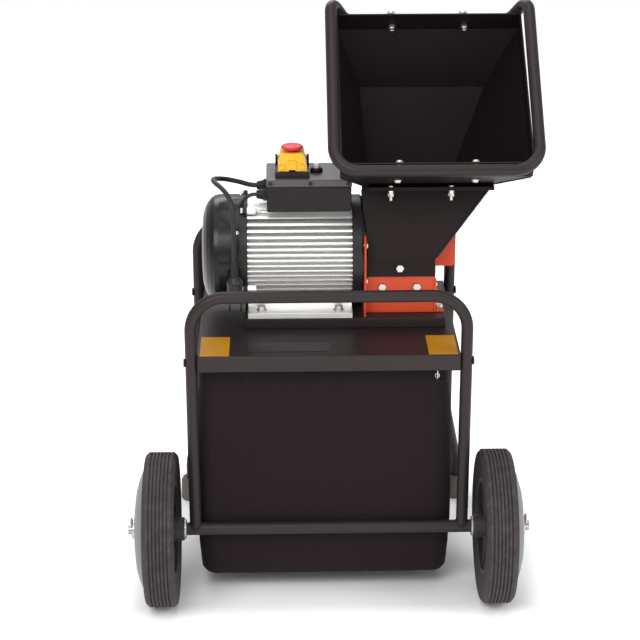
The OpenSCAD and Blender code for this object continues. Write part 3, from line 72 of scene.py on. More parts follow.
def setCamera(v):
    lens = bpy.data.cameras.new("photoCamera")
    lens.sensor_width = v["sensor"]
    lens.lens = v["focalPixels"] / v["frame"] * lens.sensor_width
    lens.clip_start, lens.clip_end = v["clip"]
    camera = bpy.data.objects.new("photoCamera", lens)
    pitch, yaw, roll = (math.radians(v[k]) for k in ("pitch", "yaw", "roll"))
    aim = Vector((math.sin(yaw) * math.cos(pitch), math.cos(yaw) * math.cos(pitch), -math.sin(pitch)))
    turn = aim.to_track_quat("-Z", "Y").to_matrix() @ Matrix.Rotation(roll, 3, "Z")
    camera.matrix_world = Matrix.Translation(spot(*v["at"])) @ turn.to_4x4()
    scene.collection.objects.link(camera)
    scene.camera = camera


setCamera(cameraView)
print("camera set")


# shader building: a socket with operators, and a finish that holds one material
class Sock:
    def __init__(self, finish, socket):
        self.finish, self.socket = finish, socket

    def calc(self, operation, other, flip=False):
        pair = (other, self) if flip else (self, other)
        return self.finish.add("ShaderNodeMath", {"operation": operation}, {0: pair[0], 1: pair[1]})

    def __add__(self, other):
        return self.calc("ADD", other)

    def __sub__(self, other):
        return self.calc("SUBTRACT", other)

    def __rsub__(self, other):
        return self.calc("SUBTRACT", other, True)

    def __mul__(self, other):
        return self.calc("MULTIPLY", other)


class Finish:
    def __init__(self, name, **fixed):
        self.material = bpy.data.materials.new(name)
        self.material.use_nodes = True
        self.tree = self.material.node_tree
        self.shader = self.tree.nodes["Principled BSDF"]
        self.set(**fixed)
        self.place = self.add("ShaderNodeTexCoord", out="Object")

    def add(self, kind, settings=None, inputs=None, out=0):
        node = self.tree.nodes.new(kind)
        for key, value in (settings or {}).items():
            setattr(node, key, value)
        for key, value in (inputs or {}).items():
            if isinstance(value, Sock):
                self.tree.links.new(value.socket, node.inputs[key])
            else:
                node.inputs[key].default_value = value
        return Sock(self, node.outputs[out])

    def set(self, **sockets):
        for key, value in sockets.items():
            socket = self.shader.inputs[key.replace("_", " ")]
            if isinstance(value, Sock):
                self.tree.links.new(value.socket, socket)
            else:
                socket.default_value = value

    def stretched(self, x, y, z, turn=(0, 0, 0)):
        return self.add("ShaderNodeMapping", {}, {"Vector": self.place, "Rotation": turn, "Scale": (x, y, z)})

    def cloud(self, scale, detail=3.0, rough=0.55, where=None):
        return self.add("ShaderNodeTexNoise", {}, {"Vector": where or self.place, "Scale": scale, "Detail": detail,
                                                   "Roughness": rough})

    def step(self, value, low, high):
        return self.add("ShaderNodeMapRange", {"interpolation_type": "SMOOTHSTEP"},
                        {"Value": value, "From Min": low, "From Max": high})

    def mix(self, factor, first, second):
        return self.add("ShaderNodeMix", {"data_type": "RGBA"}, {0: factor, 6: first, 7: second}, 2)

    def dot(self, first, second):
        return self.add("ShaderNodeVectorMath", {"operation": "DOT_PRODUCT"}, {0: first, 1: second}, "Value")

    def bump(self, height, strength, depth, under=None):
        inputs = {"Height": height, "Strength": strength, "Distance": depth}
        if under:
            inputs["Normal"] = under
        return self.add("ShaderNodeBump", {}, inputs)


def shade(code, k=1.0):
    parts = [int(code[i:i + 2], 16) / 255 for i in (0, 2, 4)]
    return tuple(min(1, k * (c / 12.92 if c <= 0.04045 else ((c + 0.055) / 1.055) ** 2.4)) for c in parts) + (1,)


# powder coat and enamel: orange peel, soft cloudy tone, dust on the scuffs
def paint(name, code, rough=0.42, peel=0.1, dust="6b6663", dusty=0.12, coat=0.0, gloss=0.3, chute=None, above=None):
    f = Finish(name, Specular_IOR_Level=gloss, Coat_Weight=coat, Coat_Roughness=0.25)
    wide, fine = f.cloud(5.5, 4), f.cloud(620, 2, 0.4)
    scuff = f.step(f.cloud(1, 5, 0.7, f.stretched(60, 22, 14, (0.3, 0.2, 0.5))), 0.6, 0.78)
    base = f.mix(wide, shade(code, 0.82), shade(code, 1.2))
    if chute:  # a face that looks towards the chute's axis is its inside, which is darkened as painted shade
        start, end = (spot(*c) for c in chute)
        way, normal = (end - start).normalized(), f.add("ShaderNodeTexCoord", out="Normal")
        away = f.add("ShaderNodeVectorMath", {"operation": "SUBTRACT"}, {0: f.place, 1: start})
        outward = f.dot(away, normal) - f.dot(away, way) * f.dot(normal, way)
        shadedInside = 1.0 - f.step(outward, -0.03, -0.01)
        if above:  # and lies over its lowest wall, not on the strip below
            over = f.add("ShaderNodeVectorMath", {"operation": "SUBTRACT"}, {0: f.place, 1: spot(*above[0])})
            shadedInside = shadedInside * f.step(f.dot(over, above[1]), -0.003, -0.001)
        base = f.mix(shadedInside, base, shade("171213"))
    f.set(Base_Color=f.mix(scuff * dusty, base, shade(dust)), Roughness=wide * 0.16 + scuff * 0.12 + (rough - 0.08),
          Normal=f.bump(fine, peel, 0.0006))
    return f.material


# bare metal: lines along one axis, with patchy tone, and optional painted shade on faces that look down
def metal(name, code, rough=0.3, along=(4, 420, 420), lines=0.12, patch=0.08, bright=1.0, underShade=0.0):
    f = Finish(name, Metallic=bright)
    grain, patches = f.cloud(1, 3, 0.6, f.stretched(*along)), f.cloud(38, 3)
    base = f.mix(patches, shade(code, 1 - patch), shade(code, 1 + patch))
    if underShade:  # painted shade: faces that look down are darkened
        upward = f.add("ShaderNodeSeparateXYZ", {}, {0: f.add("ShaderNodeTexCoord", out="Normal")}, "Z")
        base = f.mix((1.0 - f.step(upward, -0.9, 0.15)) * underShade, base, shade("2b2927"))
    f.set(Base_Color=base, Roughness=grain * 0.18 + patches * 0.14 + (rough - 0.14),
          Normal=f.bump(grain, lines, 0.0004))
    return f.material


# moulded plastic and rubber: spark grain, faint handling marks
def moulded(name, code, rough=0.5, grain=0.08, size=900, coat=0.0, bloom="7a7674", bloomed=0.06, gloss=0.4):
    f = Finish(name, Specular_IOR_Level=gloss, Coat_Weight=coat, Coat_Roughness=0.12)
    wide, spark = f.cloud(9, 4), f.cloud(size, 2, 0.5)
    mark = f.step(f.cloud(46, 5, 0.65), 0.56, 0.8)
    f.set(Base_Color=f.mix(mark * bloomed, f.mix(wide, shade(code, 0.88), shade(code, 1.1)), shade(bloom)),
          Roughness=mark * 0.12 + wide * 0.1 + (rough - 0.07), Normal=f.bump(spark, grain, 0.0005))
    return f.material


# solid tyre: worn pale ribs, dust held by the fine skin of the rubber
def tyreRubber(name):
    f = Finish(name, Specular_IOR_Level=0.3)
    wide, fine = f.cloud(14, 5, 0.6), f.cloud(520, 3, 0.6)
    worn = f.step(f.cloud(70, 4, 0.7), 0.42, 0.74)
    base = f.mix(wide, shade("2c2628"), shade("3b3436"))
    f.set(Base_Color=f.mix(worn * 0.3, base, shade("6a6462")), Roughness=wide * 0.12 + worn * 0.1 + 0.62,
          Normal=f.bump(fine, 0.25, 0.0007, f.bump(worn, 0.15, 0.0008)))
    return f.material


# woven sack cloth: warp and weft on the cloth's own map, which is in metres
def wovenCloth(name, code, thread=2.2):
    f = Finish(name, Specular_IOR_Level=0.15, Sheen_Weight=0.04, Sheen_Roughness=0.45)
    weave = f.add("ShaderNodeTexCoord", out="UV")
    u, v = (f.add("ShaderNodeSeparateXYZ", {}, {0: weave}, axis) for axis in ("X", "Y"))
    turn = 2 * math.pi / (thread * mm)
    warp = f.add("ShaderNodeMath", {"operation": "SINE"}, {0: u * turn})
    weft = f.add("ShaderNodeMath", {"operation": "SINE"}, {0: v * turn})
    cross = warp * weft * 0.5 + 0.5
    fade, slub = f.cloud(4.2, 5, 0.6), f.cloud(1, 3, 0.6, f.stretched(240, 240, 26))
    base = f.mix(fade, shade(code, 0.78), shade(code, 1.24))
    lint = f.step(f.cloud(34, 5, 0.7), 0.6, 0.82)
    f.set(Base_Color=f.mix(lint * 0.2, f.mix(cross * 0.3, base, shade("2f2629")), shade("453d3e")),
          Roughness=slub * 0.1 + 0.82,
          Normal=f.bump(cross, 0.3, 0.0009, f.bump(slub, 0.2, 0.0014)))
    return f.material


# axes of the feed from low to high end, and a point of the hopper's front wall with the wall's upward direction
feed = {"hopper": ((162.5, 250, 714), (169, 172.4, 813.3)), "funnel": ((121.7, 197, 541), (162.5, 250, 714)),
        "frontWall": ((162.5, 171, 652.4), (0, 0.397, 0.918))}

finishes = {
    "frameCoat": paint("frameCoat", "292122", 0.42, 0.09, dusty=0.06, gloss=0.24),
    "sheetCoat": paint("sheetCoat", "231b1c", 0.5, 0.1, dusty=0.06, gloss=0.2),
    # hopper and funnel coats darken the faces inside the chute as painted shade
    "hopperCoat": paint("hopperCoat", "231b1c", 0.5, 0.1, dusty=0.05, gloss=0.12, chute=feed["hopper"],
                        above=feed["frontWall"]),
    "funnelCoat": paint("funnelCoat", "231b1c", 0.5, 0.1, dusty=0.05, gloss=0.12, chute=feed["funnel"]),
    "orangeEnamel": paint("orangeEnamel", "c4441f", 0.4, 0.08, "8a3a22", 0.3, 0.12),
    "shieldPaint": paint("shieldPaint", "211e20", 0.36, 0.14),
    "zincPlate": metal("zincPlate", "c3c2bb", 0.34, (300, 300, 300), 0.05),
    "turnedSteel": metal("turnedSteel", "a6a6a8", 0.3, (900, 30, 30), 0.1),
    "stackedSheet": metal("stackedSheet", "6f665f", 0.5, (1500, 20, 20), 0.2),
    # the fin alloy carries painted shade on its down-facing faces (last argument)
    "ribAlloy": metal("ribAlloy", "f3f2f0", 0.42, (5, 520, 520), 0.1, 0.05, 0.85, 0.42),
    "footRubber": moulded("footRubber", "57564c", 0.7, 0.15, 500, 0.0, "7d7c70", 0.2),
    "tyreRubber": tyreRubber("tyreRubber"),
    "hubPlastic": moulded("hubPlastic", "2f2a2c", 0.48),
    "coverPlastic": moulded("coverPlastic", "6c6c70", 0.46, 0.05, 800, 0.0, "6d6c6a", 0.15, 0.3),
    "bushPlastic": moulded("bushPlastic", "d9d4c4", 0.4),
    "glossBlack": moulded("glossBlack", "0e0d0f", 0.34, 0.02, 300, 0.08, "3a3a3c", 0.05, 0.3),
    "boxPlastic": moulded("boxPlastic", "191317", 0.5, 0.16, 1100, gloss=0.24),
    "lidPlastic": moulded("lidPlastic", "4e494b", 0.44, 0.16, 1100, gloss=0.35),
    "darkPin": metal("darkPin", "4b4744", 0.42, (300, 300, 60), 0.08),
    "yellowPlastic": moulded("yellowPlastic", "e3b106", 0.34, 0.03, 900, 0.12, "c79312", 0.2),
    "redPlastic": moulded("redPlastic", "d3222f", 0.46, 0.03, 900, 0.06, "a8202c", 0.2, 0.3),
    "greenPlastic": moulded("greenPlastic", "2c8a4c", 0.34, 0.03),
    "palePlastic": moulded("palePlastic", "d8c9c4", 0.34, 0.03),
    "yellowPlate": paint("yellowPlate", "b27b12", 0.46, 0.03, "96690f", 0.25, gloss=0.2),
    "darkPlate": paint("darkPlate", "1f1b1d", 0.3, 0.02, "5a5557", 0.1),
    "cableJacket": moulded("cableJacket", "1c1a1c", 0.5, 0.12, 700),
    "sackCloth": wovenCloth("sackCloth", "1c1417"),
    "seamThread": moulded("seamThread", "2f2a2c", 0.75, 0.2, 1500),
}
print("finishes made:", len(finishes))


# mesh helpers
def addPiece(name, mesh, finish, body="machine", smooth=40):
    piece = bpy.data.objects.new(name, mesh)
    scene.collection.objects.link(piece)
    mesh.materials.clear()
    mesh.materials.append(finishes[finish])
    mesh.shade_smooth()
    mesh.set_sharp_from_angle(angle=math.radians(smooth))
    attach(piece, body)
    return piece


def meshFrom(name, points, faces):
    mesh = bpy.data.meshes.new(name)
    mesh.from_pydata([tuple(p) for p in points], [], faces)
    b = bmesh.new()
    b.from_mesh(mesh)
    bmesh.ops.recalc_face_normals(b, faces=b.faces)
    b.to_mesh(mesh)
    b.free()
    return mesh


# turns (radius, height) pairs in mm round an axis that stands at a point
def turnedMesh(name, profile, at, axis=(0, 0, 1), sides=48):
    basis = Vector(axis).normalized().to_track_quat("Z", "Y").to_matrix()
    points, rings, faces = [], [], []
    for r, h in profile:
        n = 1 if r < 1e-6 else sides
        rings.append([len(points) + i for i in range(n)])
        for i in range(n):
            a = 2 * math.pi * i / n
            points.append(at + basis @ Vector((r * math.cos(a), r * math.sin(a), h)) * mm)
    for low, high in zip(rings, rings[1:]):
        for i in range(sides):
            j = (i + 1) % sides
            ring = [low[i % len(low)], low[j % len(low)], high[j % len(high)], high[i % len(high)]]
            ring = list(dict.fromkeys(ring))
            if len(ring) > 2:
                faces.append(ring)
    return meshFrom(name, points, faces)


# round edges on a copy of a CAD node, so that folds and castings catch the light
def softened(node, width, finish, body, segments=2):
    b = bmesh.new()
    b.from_mesh(nodes[node].data)
    bmesh.ops.remove_doubles(b, verts=b.verts, dist=2e-6)
    bmesh.ops.dissolve_limit(b, angle_limit=math.radians(0.6), verts=b.verts, edges=b.edges)
    mesh = bpy.data.meshes.new(node + ".soft")
    b.to_mesh(mesh)
    b.free()
    piece = addPiece(node + ".soft", mesh, finish, body)
    bevel = piece.modifiers.new("edge", "BEVEL")
    bevel.width, bevel.segments, bevel.limit_method = width * mm, segments, "ANGLE"
    bevel.angle_limit, bevel.use_clamp_overlap = math.radians(32), False
    even = piece.modifiers.new("even", "WEIGHTED_NORMAL")
    even.keep_sharp, even.weight = True, 90
    done = bpy.data.meshes.new_from_object(piece.evaluated_get(bpy.context.evaluated_depsgraph_get()))
    piece.modifiers.clear()
    piece.data = done
    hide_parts(node)
    return piece


# one tree sets a small shape on every point, turned by the point's own two directions
def makeRowTree():
    tree = bpy.data.node_groups.new("rowOfParts", "GeometryNodeTree")
    for name, kind in (("Geometry", "Geometry"), ("Shape", "Object"), ("Spread", "Float"), ("Finish", "Material")):
        tree.interface.new_socket(name, in_out="INPUT", socket_type="NodeSocket" + kind)
    tree.interface.new_socket("Geometry", in_out="OUTPUT", socket_type="NodeSocketGeometry")

    def add(kind, links=None, **settings):
        node = tree.nodes.new(kind)
        for key, value in settings.items():
            setattr(node, key, value)
        for key, value in (links or {}).items():
            if isinstance(value, bpy.types.NodeSocket):
                tree.links.new(value, node.inputs[key])
            else:
                node.inputs[key].default_value = value
        return node

    given = add("NodeGroupInput").outputs
    facing = add("GeometryNodeInputNamedAttribute", {"Name": "facing"}, data_type="FLOAT_VECTOR").outputs[0]
    along = add("GeometryNodeInputNamedAttribute", {"Name": "along"}, data_type="FLOAT_VECTOR").outputs[0]
    turn = add("FunctionNodeAxesToRotation", {0: facing, 1: along}, primary_axis="Z", secondary_axis="X").outputs[0]
    low = add("ShaderNodeMath", {0: 1.0, 1: given["Spread"]}, operation="SUBTRACT").outputs[0]
    high = add("ShaderNodeMath", {0: 1.0, 1: given["Spread"]}, operation="ADD").outputs[0]
    vary = add("FunctionNodeRandomValue", {2: low, 3: high, "Seed": 7}, data_type="FLOAT").outputs[1]
    shape = add("GeometryNodeObjectInfo", {"Object": given["Shape"]}).outputs["Geometry"]
    row = add("GeometryNodeInstanceOnPoints", {"Points": given["Geometry"], "Instance": shape, "Rotation": turn,
                                               "Scale": vary}).outputs[0]
    plain = add("GeometryNodeRealizeInstances", {0: row}).outputs[0]
    coated = add("GeometryNodeSetMaterial", {"Geometry": plain, "Material": given["Finish"]}).outputs[0]
    tree.links.new(coated, add("NodeGroupOutput").inputs[0])
    return tree


rowTree = makeRowTree()


def rowOf(name, shape, spots, finish, spread=0.0, smooth=40):
    mesh = bpy.data.meshes.new(name)
    mesh.from_pydata([tuple(p) for p, _, _ in spots], [], [])
    for key, k in (("facing", 1), ("along", 2)):
        turns = mesh.attributes.new(key, "FLOAT_VECTOR", "POINT")
        turns.data.foreach_set("vector", [c for s in spots for c in s[k]])
    sample = bpy.data.objects.new(name + "Shape", shape)
    carrier = bpy.data.objects.new(name + "Row", mesh)
    scene.collection.objects.link(carrier)
    modifier = carrier.modifiers.new("row", "NODES")
    modifier.node_group = rowTree
    named = {item.name: item.identifier for item in rowTree.interface.items_tree if item.in_out == "INPUT"}
    for key, value in (("Shape", sample), ("Spread", spread), ("Finish", finishes[finish])):
        modifier[named[key]] = value
    done = bpy.data.meshes.new_from_object(carrier.evaluated_get(bpy.context.evaluated_depsgraph_get()))
    bpy.data.objects.remove(carrier)
    bpy.data.objects.remove(sample)
    for key in ("facing", "along"):
        if key in done.attributes:
            done.attributes.remove(done.attributes[key])
    done.name = name
    return addPiece(name, done, finish, smooth=smooth)


# rings of (radius, height) in mm, closed at both ends, with an optional star ring for a cross recess
def ringShape(name, rings, sides):
    points, faces = [], []
    for r, h in rings:
        for i in range(sides):
            a = 2 * math.pi * i / sides
            k = r(i) if callable(r) else r
            points.append(Vector((k * math.cos(a), k * math.sin(a), h)) * mm)
    for n in range(len(rings) - 1):
        for i in range(sides):
            j = (i + 1) % sides
            faces.append((n * sides + i, n * sides + j, (n + 1) * sides + j, (n + 1) * sides + i))
    faces += [tuple(range(sides))[::-1], tuple(range((len(rings) - 1) * sides, len(rings) * sides))]
    return meshFrom(name, points, faces)


# radius of a cross recess with four arms
def lobes(i):
    return 1.75 if i % 4 == 0 else 0.55


smallShapes = {
    "crossScrew": ringShape("crossScrew", [(3.4, -1.5), (3.4, 0.5), (3.2, 1.1), (2.3, 1.9), (lobes, 2.1),
                                           (lobes, 1.0)], 16),
    "stitch": meshFrom("stitch", [Vector((x, w * math.cos(a), w * math.sin(a) * 0.8)) * mm for x, w in
                                  ((-2.3, 0.12), (-1.9, 0.42), (0, 0.52), (1.9, 0.42), (2.3, 0.12))
                                  for a in (k * math.pi / 3 for k in range(6))],
                       [(n * 6 + i, n * 6 + (i + 1) % 6, n * 6 + 6 + (i + 1) % 6, n * 6 + 6 + i) for n in range(4)
                        for i in range(6)] + [tuple(range(6)), tuple(range(24, 30))]),
    "weldRipple": ringShape("weldRipple", [(2.3, -1.2), (2.3, 0.1), (1.7, 0.75), (0.7, 1.05)], 10),
}

slotOf = {p["node"]: p["material_slot"] for p in frame["record"]["subparts"]}
bodyOf = {n: b for b, members in frame["record"]["behaviour"]["bodies"].items() for n in members}
finishOfSlot = {
    "frame_paint": "frameCoat", "sheet_paint": "sheetCoat", "orange_paint": "orangeEnamel",
    "shield_paint": "shieldPaint", "zinc": "zincPlate", "steel": "turnedSteel", "lamination": "stackedSheet",
    "alloy": "ribAlloy", "foot_rubber": "footRubber", "tyre_rubber": "tyreRubber", "hub_plastic": "hubPlastic",
    "cover_plastic": "coverPlastic", "bush_plastic": "bushPlastic", "gloss_black": "glossBlack",
    "box_plastic": "boxPlastic", "yellow_plastic": "yellowPlastic", "red_plastic": "redPlastic",
    "green_plastic": "greenPlastic", "pale_plastic": "palePlastic", "yellow_plate": "yellowPlate",
    "dark_plate": "darkPlate", "cable": "cableJacket", "cloth": "sackCloth",
}
ownFinish = {"deck": "frameCoat", "motor_base": "frameCoat", "hopper": "hopperCoat", "lower_funnel": "funnelCoat",
             "box_lid": "lidPlastic"}


def finishFor(node):
    return ownFinish.get(node) or finishOfSlot[slotOf[node]]


for name, node in nodes.items():
    node.data.materials.clear()
    node.data.materials.append(finishes[finishFor(name)])

# bevel widths in mm for the pieces whose edges show
edges = {
    "deck": 1.6, "motor_base": 1.4, "cutter_housing": 0.8, "side_cover": 0.8, "switch_box": 2.0, "box_lid": 1.6,
    "motor_housing": 0.5, "sack_hooks": 0.6, "housing_bolts": 0.6, "motor_foot_bolts": 0.6, "deck_bolts": 0.9,
    "hopper_bolts": 0.6, "shield_bolts": 0.5, "sign_plates": 0.2, "name_plate": 0.2, "counter_knife": 0.4,
    "cutter_rotor": 0.6, "rotor_nut": 0.6,
    "axle": 0.3, "axle_washers": 0.4, "left_wheel_hub": 0.8, "right_wheel_hub": 0.8, "fan_end_shield": 0.8,
}
for name, width in edges.items():
    softened(name, width, finishFor(name), bodyOf[name])
print("edges softened:", len(edges))


# mains lead: the same listed steps as the solid, from its gland to its plug
lead = {"gland": (-110.5, 214.69, 640), "diameter": 8, "stepsPerSpan": 3,
        "steps": [(0, 0, 0), (-14, 0, 1.5), (-32, -1, 7), (-52, -7, 13), (-67, -24, 19), (-71, -46, 23),
                  (-66, -69, 24.5), (-55.5, -91, 22.5), (-46, -108.5, 15), (-40, -119.5, 1), (-37.8, -125, -18),
                  (-37.5, -127, -42), (-37.5, -127, -68), (-37.5, -127, -94)]}


def smoothRoute(points, steps):
    route = []
    for i in range(len(points) - 1):
        a, b = points[max(i - 1, 0)], points[i]
        c, d = points[i + 1], points[min(i + 2, len(points) - 1)]
        for k in range(steps):
            t = k / steps
            route.append(0.5 * (2 * b + (c - a) * t + (2 * a - 5 * b + 4 * c - d) * t * t
                                + (3 * b - a - 3 * c + d) * t * t * t))
    return route + [points[-1]]


def tubeCurve(name, route, width, rounds):
    curve = bpy.data.curves.new(name, "CURVE")
    curve.dimensions, curve.bevel_depth, curve.bevel_resolution = "3D", width / 2 * mm, rounds
    curve.use_fill_caps = True
    spline = curve.splines.new("POLY")
    spline.points.add(len(route) - 1)
    for p, r in zip(spline.points, route):
        p.co = (*r, 1)
    return bpy.data.objects.new(name, curve)


def makeLead(v):
    start = Vector(v["gland"])
    route = smoothRoute([spot(*(start + Vector(s))) for s in v["steps"]], v["stepsPerSpan"])
    piece = tubeCurve("mainsLead", route, v["diameter"], 5)
    scene.collection.objects.link(piece)
    piece.data.materials.append(finishes["cableJacket"])
    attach(piece, "machine")
    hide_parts("mains_lead")
    return piece, route, sum((b - a).length for a, b in zip(route, route[1:]))


plug = {"body": (488, 528), "radius": 13.5, "x": -148, "y": 87.69, "pinLength": 19, "pinRadius": 2.4, "pinGap": 19,
        "rings": 6, "ringStep": 4, "ringRadius": 6.4, "ringTaper": 0.24, "mouth": 4.4}


def makePlug(v):
    low, high = v["body"]
    r, tall = v["radius"], high - low
    profile = [(0, 0), (r - 2.2, 0), (r - 0.6, 0.6), (r, 2.2), (r, 6), (r - 1, 7)]
    profile += [(r - 1 - 0.2 * math.sin(k * math.pi / 6), 7 + k * 3) for k in range(1, 8)]
    profile += [(r - 0.2, 29.5), (r - 0.4, 31), (r - 2.5, 34), (8.6, 38), (7, tall)]
    for k in range(v["rings"]):  # moulded rings of the strain relief
        z, wide = tall + k * v["ringStep"], v["ringRadius"] - v["ringTaper"] * k
        profile += [(wide - 0.9, z + 0.4), (wide - 0.9, z + 1.2), (wide, z + 1.7), (wide, z + 3.5),
                    (wide - 0.4, z + v["ringStep"])]
    end = tall + v["rings"] * v["ringStep"]
    profile += [(v["mouth"], end), (0, end)]
    mesh = turnedMesh("plugBody", profile, spot(v["x"], v["y"], low))
    body = addPiece("plugBody", mesh, "cableJacket")
    pins = bmesh.new()
    long, thick = v["pinLength"], v["pinRadius"]
    for s in (-1, 1):
        tip = [(0, -long), (thick - 1, -long), (thick, 1.6 - long), (thick, -9), (thick, 0.5), (0, 0.5)]
        pins.from_mesh(turnedMesh("pin", tip, spot(v["x"] + s * v["pinGap"] / 2, v["y"], low), sides=24))
    mesh = bpy.data.meshes.new("plugPins")
    pins.to_mesh(mesh)
    pins.free()
    pinPiece = addPiece("plugPins", mesh, "darkPin")
    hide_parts("mains_plug")
    return body, pinPiece


leadPiece, leadRoute, leadLength = makeLead(lead)
plugPieces = makePlug(plug)
print("lead made:", round(leadLength, 3), "m")


# sack: a sewn shell that hangs from its hooks, slack at its top and filled out below
sack = {"middleX": -7, "middleY": 154, "halfX": 197.5, "halfY": 136, "corner": 22, "top": 398, "low": 35,
        "bulge": 9.5, "wall": 1.8, "hem": 27, "hemWall": 0.9, "hemRows": 9, "hemProud": 1.0, "levels": 72,
        "front": 46, "side": 32, "bend": 7, "slack": 2.4, "swell": 1.3, "crease": 0.7, "hookX": 172,
        "hookY": 118, "filledBy": 0.35, "gatherWide": 46, "gatherDeep": 0.2, "gatherPitch": 4.4,
        "shift": (-6, -0.7, 0.8), "sunk": 3, "floorRings": (0.9, 0.7, 0.45, 0.2),
        "form": [(0, 0), (0.07, 0.1), (0.2, 0.65), (0.36, 1), (0.74, 1), (0.86, 0.75), (0.94, 0.52), (0.985, 0.36),
                 (1, -0.1)]}


def sackGrow(h):
    for (a, low), (b, high) in zip(sack["form"], sack["form"][1:]):
        if h <= b:
            t = (h - a) / (b - a)
            return sack["bulge"] * (low + (high - low) * t * t * (3 - 2 * t))
    return sack["bulge"] * sack["form"][-1][1]


# one turn round the sack: place on the ring and its outward direction
def sackTurn():
    turn = []
    for k in range(4):
        n = sack["side"] if k % 2 else sack["front"]
        turn += [("side", k, i / n) for i in range(n)]
        turn += [("bend", k, i / sack["bend"]) for i in range(sack["bend"])]
    return turn


def sackPoint(turn, halfX, halfY, r):
    kind, k, f = turn
    out = Vector(((0, -1), (1, 0), (0, 1), (-1, 0))[k])
    way = Vector((-out.y, out.x))
    reach, half = (halfY, halfX) if k % 2 == 0 else (halfX, halfY)
    if kind == "side":
        return out * reach + way * (half - r) * (2 * f - 1), out
    a = f * math.pi / 2
    swing = out * math.cos(a) + way * math.sin(a)
    return out * (reach - r) + way * (half - r) + swing * r, swing


def sackShift(x, y, h):
    fill = min(1, h / sack["filledBy"])
    wide = noise.noise(Vector((x * 0.009, y * 0.009, h * 2.4 + 3)))
    fold = noise.noise(Vector((x * 0.035, y * 0.035, h * 1.3 + 11)))
    gather = 0
    for hook in (-sack["hookX"], sack["hookX"]):
        near = math.exp(-((x - hook) / sack["gatherWide"]) ** 2) * math.exp(-h / sack["gatherDeep"])
        gather += near * math.cos((x - hook) / sack["gatherPitch"])
    least, usual, most = sack["shift"]
    return max(least, min(most, usual + sack["swell"] * wide * fill + sack["crease"] * (fold * fill + gather)))


def sackSurface(turn, h, proud=0.0):
    grow = sackGrow(h)
    p, out = sackPoint(turn, sack["halfX"] + grow, sack["halfY"] + grow / 2, sack["corner"] + grow)
    share = p.x / sack["hookX"] if abs(out.y) > 0.7 else p.y / sack["hookY"]
    slack = sack["slack"] * max(0, 1 - share ** 2)
    z = (sack["top"] - slack) * (1 - h) + sack["low"] * h
    q = p + out * (sackShift(p.x, p.y, h) + proud)
    return Vector((q.x + sack["middleX"], q.y + sack["middleY"], z)), Vector((out.x, out.y, 0))


def sackMesh(name, heights, proud, closed):
    turn = sackTurn()
    n, points, faces, maps = len(turn), [], [], []
    lap, flat = [0.0], (sack["halfX"], sack["halfY"], sack["corner"])
    for a, b in zip(turn, turn[1:] + turn[:1]):
        lap.append(lap[-1] + (sackPoint(b, *flat)[0] - sackPoint(a, *flat)[0]).length)
    drop = sack["top"] - sack["low"]
    for h in heights:
        points += [spot(*sackSurface(t, h, proud)[0]) for t in turn]
    for k in range(len(heights) - 1):
        for i in range(n):
            j = (i + 1) % n
            faces.append((k * n + i, (k + 1) * n + i, (k + 1) * n + j, k * n + j))
            v0, v1 = drop * (1 - heights[k]), drop * (1 - heights[k + 1])
            maps.append(((lap[i], v0), (lap[i], v1), (lap[i + 1], v1), (lap[i + 1], v0)))
    if closed:
        base = (len(heights) - 1) * n
        centre = spot(sack["middleX"], sack["middleY"], sack["low"])
        for step in sack["floorRings"]:  # the floor of the sack, sunk a little by its load
            sunk = Vector((0, 0, (1 - step) * sack["sunk"] * mm))
            ring = [centre + (points[base + i] - centre) * step - sunk for i in range(n)]
            here = len(points)
            points += ring
            last = here - n
            for i in range(n):
                j = (i + 1) % n
                face = (last + i, here + i, here + j, last + j)
                faces.append(face)
                maps.append(tuple((points[q].x / mm, points[q].y / mm) for q in face))
        faces.append(tuple(range(here + n - 1, here - 1, -1)))
        maps.append(tuple((points[q].x / mm, points[q].y / mm) for q in faces[-1]))
    mesh = bpy.data.meshes.new(name)
    mesh.from_pydata([tuple(q) for q in points], [], [f[::-1] for f in faces])
    layer = mesh.uv_layers.new(name="weave")
    layer.data.foreach_set("uv", [c * mm for m in maps for pair in m[::-1] for c in pair])
    mesh.validate()
    return mesh


def makeSack(v):
    heights = [k / v["levels"] for k in range(v["levels"] + 1)]
    hemEnd = v["hem"] / (v["top"] - v["low"])
    made = []
    hemHeights = [hemEnd * k / v["hemRows"] for k in range(v["hemRows"] + 1)]
    for name, rows, proud, closed, wall in (("sackShell", heights, 0, True, v["wall"]),
                                            ("sackHem", hemHeights, v["hemProud"], False, v["hemWall"])):
        piece = addPiece(name, sackMesh(name, rows, proud, closed), "sackCloth", smooth=60)
        thick = piece.modifiers.new("wall", "SOLIDIFY")
        thick.thickness, thick.offset, thick.use_even_offset = wall * mm, -1, True
        done = bpy.data.meshes.new_from_object(piece.evaluated_get(bpy.context.evaluated_depsgraph_get()))
        piece.modifiers.clear()
        piece.data = done
        made.append(piece)
    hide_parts("sack")
    return made


# two stitched rows on the hem, one above the bottom edge and a double seam on each side
stitching = {"pitch": 6.2, "hemRows": (4.5, 22), "bottomRow": 0.955, "seamShare": 7 / 480, "seam": (0.08, 0.95, 60),
             "lift": 0.35}


def makeStitches(v):
    drop = sack["top"] - sack["low"]
    spots = []

    def run(path, proud):
        points = [sackSurface(t, h, proud) for t, h in path]
        gone = v["pitch"] / 2
        for (a, out), (b, _) in zip(points, points[1:]):
            way, length = (b - a).normalized(), (b - a).length
            while gone < length:
                spots.append((spot(*(a + way * gone + out * v["lift"])), out, way))
                gone += v["pitch"]
            gone -= length

    ring = sackTurn()
    ring.append(ring[0])
    for low in v["hemRows"]:
        run([(t, low / drop) for t in ring], sack["hemProud"])
    run([(t, v["bottomRow"]) for t in ring], 0)
    top, low, n = v["seam"]
    levels = [top + (low - top) * k / n for k in range(n + 1)]
    for k in (1, 3):
        for s in (-1, 1):
            run([(("side", k, 0.5 + s * v["seamShare"]), h) for h in levels], 0)
    return rowOf("sackStitches", smallShapes["stitch"], spots, "seamThread", spread=0.06)


